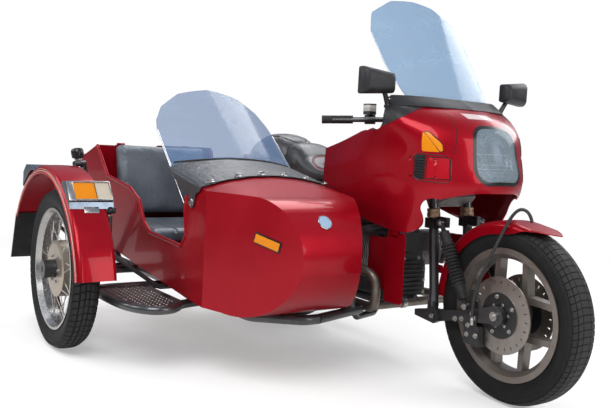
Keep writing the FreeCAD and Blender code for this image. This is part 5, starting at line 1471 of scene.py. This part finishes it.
def makeCover():
    piece, skin = coverSheet()
    spots = []
    for across in cover["buttons"]:
        ahead = cover["buttonLine"]
        place, normal = skin.find_nearest(at(ahead, across, coverHeight(ahead, across)))[:2]
        spots.append(aimed(normal, place + normal * 0.0018, 0.4 if across > -700 else -0.3))
    base = lathe([(0, 0), (0, 0.014), (0.0014, 0.015), (0.0026, 0.013), (0.003, 0.007), (0.008, 0.006), (0.008, 0)], 28)
    turn = bevelled(block((0.032, 0.0075, 0.0046), (0, 0, 0.0092)), 0.0016, 2)
    strap = bevelled(block((0.012, 0.036, 0.0016), (0, 0, 0.0008)), 0.0006, 1)
    settled(copied(merged([base, turn, strap]), spots), "coverButtons", "satinChrome", "outfit")
    place, normal = skin.find_nearest(at(668, -936, 664))[:2]
    eyelet = lathe([(-0.001, 0.006), (0.0015, 0.006), (0.003, 0.009), (0.003, 0.012), (0.001, 0.016),
                    (-0.001, 0.016)], 28, True)
    knob = lathe([(0, 0), (0, 0.0055), (0.006, 0.0055), (0.008, 0.007), (0.011, 0.007), (0.012, 0)], 20)
    settled(merged([eyelet, knob]), "coverEyelet", "satinChrome", "outfit", aimed(normal, place + normal * 0.002))
    hem = []
    for step in range(0, 41):
        across = -934 + (934 - 311) * step / 40
        place, normal = skin.find_nearest(at(738, across, coverHeight(738, across)))[:2]
        hem.append(place + normal * 0.0024)
    tube("coverHem", hem, 0.0016, "coverVinyl", 2)


makeCover()
print("nose cover laid")


def inside(point, corners):
    found = False
    for (x0, y0), (x1, y1) in zip(corners, corners[1:] + corners[:1]):
        if (y0 > point[1]) != (y1 > point[1]) and point[0] < x0 + (x1 - x0) * (point[1] - y0) / (y1 - y0):
            found = not found
    return found


stepShape = {"route": ((604, -782, 262), (604, -930, 262), (700, -1000, 262), (690, -1100, 262), (560, -1160, 262),
                       (300, -1168, 262), (228, -1150, 262), (230, -930, 262), (230, -782, 262)),
             "radius": 0.0175, "pitch": (25.0, 22.0), "stud": 0.0046}


def makeStep():
    route = [at(*point) for point in stepShape["route"]]
    line = curved("stepLine", route, "NURBS")
    path = [vertex.co - drawnOrigin for vertex in bpy.data.meshes.new_from_object(line).vertices]
    bpy.data.objects.remove(line)
    bar = [meshed(curved("stepBar", route, "NURBS", stepShape["radius"], 6))]
    for ahead in (604, 230):
        bar.append(stood(bevelled(disc(0.0215, 0.030, 28), 0.002), aimed((0, 1, 0), at(ahead, -800, 262))))
    settled(merged(bar), "stepBar", "blackEnamel", "outfit", smooth=50, instead=("footboard",))
    corners = [(point.x * 1000, point.y * 1000) for point in path if point.y < -0.912][::2]
    work = bmesh.new()
    work.faces.new([work.verts.new(at(x, y, 265)) for x, y in corners])
    plate = facedOut(meshOf("stepPlate", work))
    applied(plate, "SOLIDIFY", thickness=0.004, offset=0)
    settled(plate, "stepPlate", "blackEnamel", "outfit", smooth=30, instead=("footboard",))
    middle = (452, -1025)
    shrunk = [(middle[0] + (x - middle[0]) * 0.84, middle[1] + (y - middle[1]) * 0.70) for x, y in corners]
    long, wide = stepShape["pitch"]
    spots = [(200 + long * (i + (j % 2) / 2), -1160 + wide * j) for i in range(24) for j in range(14)]
    stud = bevelled(disc(stepShape["stud"], 0.0034, 8, (0, 0, 0.0016)), 0.0012, 1)
    places = [moved(*spot, 266) for spot in spots if inside(spot, shrunk)]
    settled(copied(stud, places), "stepStuds", "plainSteel", "outfit")


def arcOf(radius, across, first, last, steps=48):
    # along the sidecar fender, angles from level ahead over the top
    found = []
    for index in range(steps + 1):
        turn = math.radians(first + (last - first) * index / steps)
        found.append(at(35 + radius * math.cos(turn), across, 250 + radius * math.sin(turn)))
    return found


# the edge bead's lighter red is a painted highlight on the same red paint
def makeFenderTrim():
    # the two pale lines beyond the edge bead are painted highlights along the fender's arch
    for name, radius, across, thick, finish in (
            ("fenderEdge", 480, -1321.0, 0.0034, "redEdge"), ("fenderHighlight", 489, -1321.6, 0.0014, "palePinstripe"),
            ("fenderHighlightTop", 497, -1321.0, 0.0010, "palePinstripe")):
        tube(name, arcOf(radius, across, 12, 148.5), thick, finish, 2)


def makeReflectorCase():
    # dark case round the side reflector on the nose's slanting cheek
    slant = 0.475
    place = moved(985, -930 + 205 * slant, 570) @ Matrix.Rotation(math.atan(slant), 4, "Z")
    case = bevelled(block((0.114, 0.0052, 0.040), (0.052, -0.0022, 0)), 0.0015, 2)
    settled(case, "reflectorCase", "glossBlack", "outfit", place @ Matrix.Rotation(math.radians(14), 4, "Y"))


def makeLampBezel():
    # bright frame and dark divider on the front lamp's lens
    slope = Matrix(((0.654, 0, 0.756, 0), (0, 1, 0, 0), (-0.756, 0, 0.654, 0), (0, 0, 0, 1)))
    place = moved(369.1, -1230, 681) @ slope
    bars = (((0.094, 0.026, 0.0075), (0, -0.0755, 0.0008)), ((0.094, 0.0055, 0.0075), (0, 0.0845, 0.0008)),
            ((0.0075, 0.172, 0.0075), (-0.0435, 0, 0.0008)), ((0.0075, 0.172, 0.0075), (0.0435, 0, 0.0008)))
    piece = bevelled(merged([block(*bar) for bar in bars]), 0.0016, 2)
    settled(piece, "lampBezel", "satinChrome", "outfit", place)
    divider = bevelled(block((0.080, 0.0022, 0.0042), (0, 0.024, 0.001)), 0.0008, 1)
    settled(divider, "lampDivider", "glossBlack", "outfit", place)
    clamp = merged([block((0.030, 0.060, 0.010), (0.004, 0, 0)), block((0.012, 0.030, 0.026), (-0.004, 0, -0.014))])
    bevelled(clamp, 0.003, 2)
    settled(clamp, "lampClamp", "satinChrome", "outfit", moved(400, -1232, 612) @ Matrix.Rotation(0.9, 4, "Y"))


def makeBootHandle():
    skin = surfaceOf(frame["nodes"]["boot_lid"])
    place, normal = skin.ray_cast(at(-585, -618, 1200), Vector((0, 0, -1)))[:2]
    if place is None:
        return
    if normal.z < 0:
        normal = -normal
    base = lathe([(-0.001, 0), (-0.001, 0.019), (0.003, 0.019), (0.005, 0.015), (0.006, 0.009), (0.018, 0.008),
                  (0.018, 0)], 32)
    bar = bevelled(block((0.070, 0.011, 0.010), (0, 0, 0.020)), 0.004, 3)
    settled(merged([base, bar]), "bootHandle", "chrome", "boot", aimed(normal, place))


def makeTailLamp():
    bars = (((0.006, 0.166, 0.005), (0, 0, 0.0275)), ((0.006, 0.166, 0.005), (0, 0, -0.0275)),
            ((0.006, 0.005, 0.060), (0, 0.0805, 0)), ((0.006, 0.005, 0.060), (0, -0.0805, 0)))
    piece = bevelled(merged([block(*bar) for bar in bars]), 0.001, 2)
    settled(piece, "tailLampFrame", "satinChrome", "outfit", moved(-416, 0, 790))
    rib = bevelled(block((0.0024, 0.150, 0.0022)), 0.0006, 1)
    places = [moved(-430.6, 0, 772 + 6 * index) for index in range(7)]
    settled(copied(rib, places), "tailLampRibs", "redLens", "outfit")


def makeSpokeNipples():
    nipple = lathe([(0, 0), (0, 0.0032), (0.005, 0.0032), (0.012, 0.0024), (0.012, 0)], 8)
    spots = []
    for index in range(36):
        side = 1 if index % 2 else -1
        lean = 14 if index % 4 < 2 else -14
        hubAngle, rimAngle = math.radians(index * 10), math.radians(index * 10 + lean)
        near, far = (30, 9) if lean > 0 else (23, 3)
        start = Vector((114 * math.cos(hubAngle), side * near, 114 * math.sin(hubAngle)))
        end = Vector((230.8 * math.cos(rimAngle), side * far, 230.8 * math.sin(rimAngle)))
        spots.append(Matrix.Translation(sideCentre) @ aimed(start - end, end / 1000))
    settled(copied(nipple, spots), "spokeNipples", "plainSteel", "sidecar_wheel")


gaskets = {
    # name: node, corners seen from the side
    "IndicatorGasket": ("fairing_indicators", ((1206, 908), (1268, 908), (1262, 940), (1222, 982), (1206, 982))),
    "VentGasket": ("fairing_vents", ((1178, 800), (1301, 795), (1288, 894), (1178, 901))),
}


def makeGaskets():
    # thin dark gasket round each signal lens and each vent
    fairing = surfaceOf(frame["nodes"]["fairing"])
    for label, (node, points) in gaskets.items():
        skin = surfaceOf(frame["nodes"][node])
        corners = [Vector(point) for point in points]
        for name, side in sides:
            ring = []
            for first, second in zip(corners, corners[1:] + corners[:1]):
                for step in range(1, 7):
                    spot = first + (second - first) * step / 7
                    for tree in (skin, fairing):
                        place, normal = tree.ray_cast(at(spot.x, side * 500, spot.y), Vector((0, -side, 0)))[:2]
                        if place is not None:
                            ring.append(place + Vector((0.0003, side * 0.0003, 0)))
                            break
            tube(label + name, ring, 0.0017, "glossBlack", 1, True)


makeStep()
makeFenderTrim()
makeReflectorCase()
makeLampBezel()
makeBootHandle()
makeTailLamp()
makeSpokeNipples()
makeGaskets()
print("trim fitted")
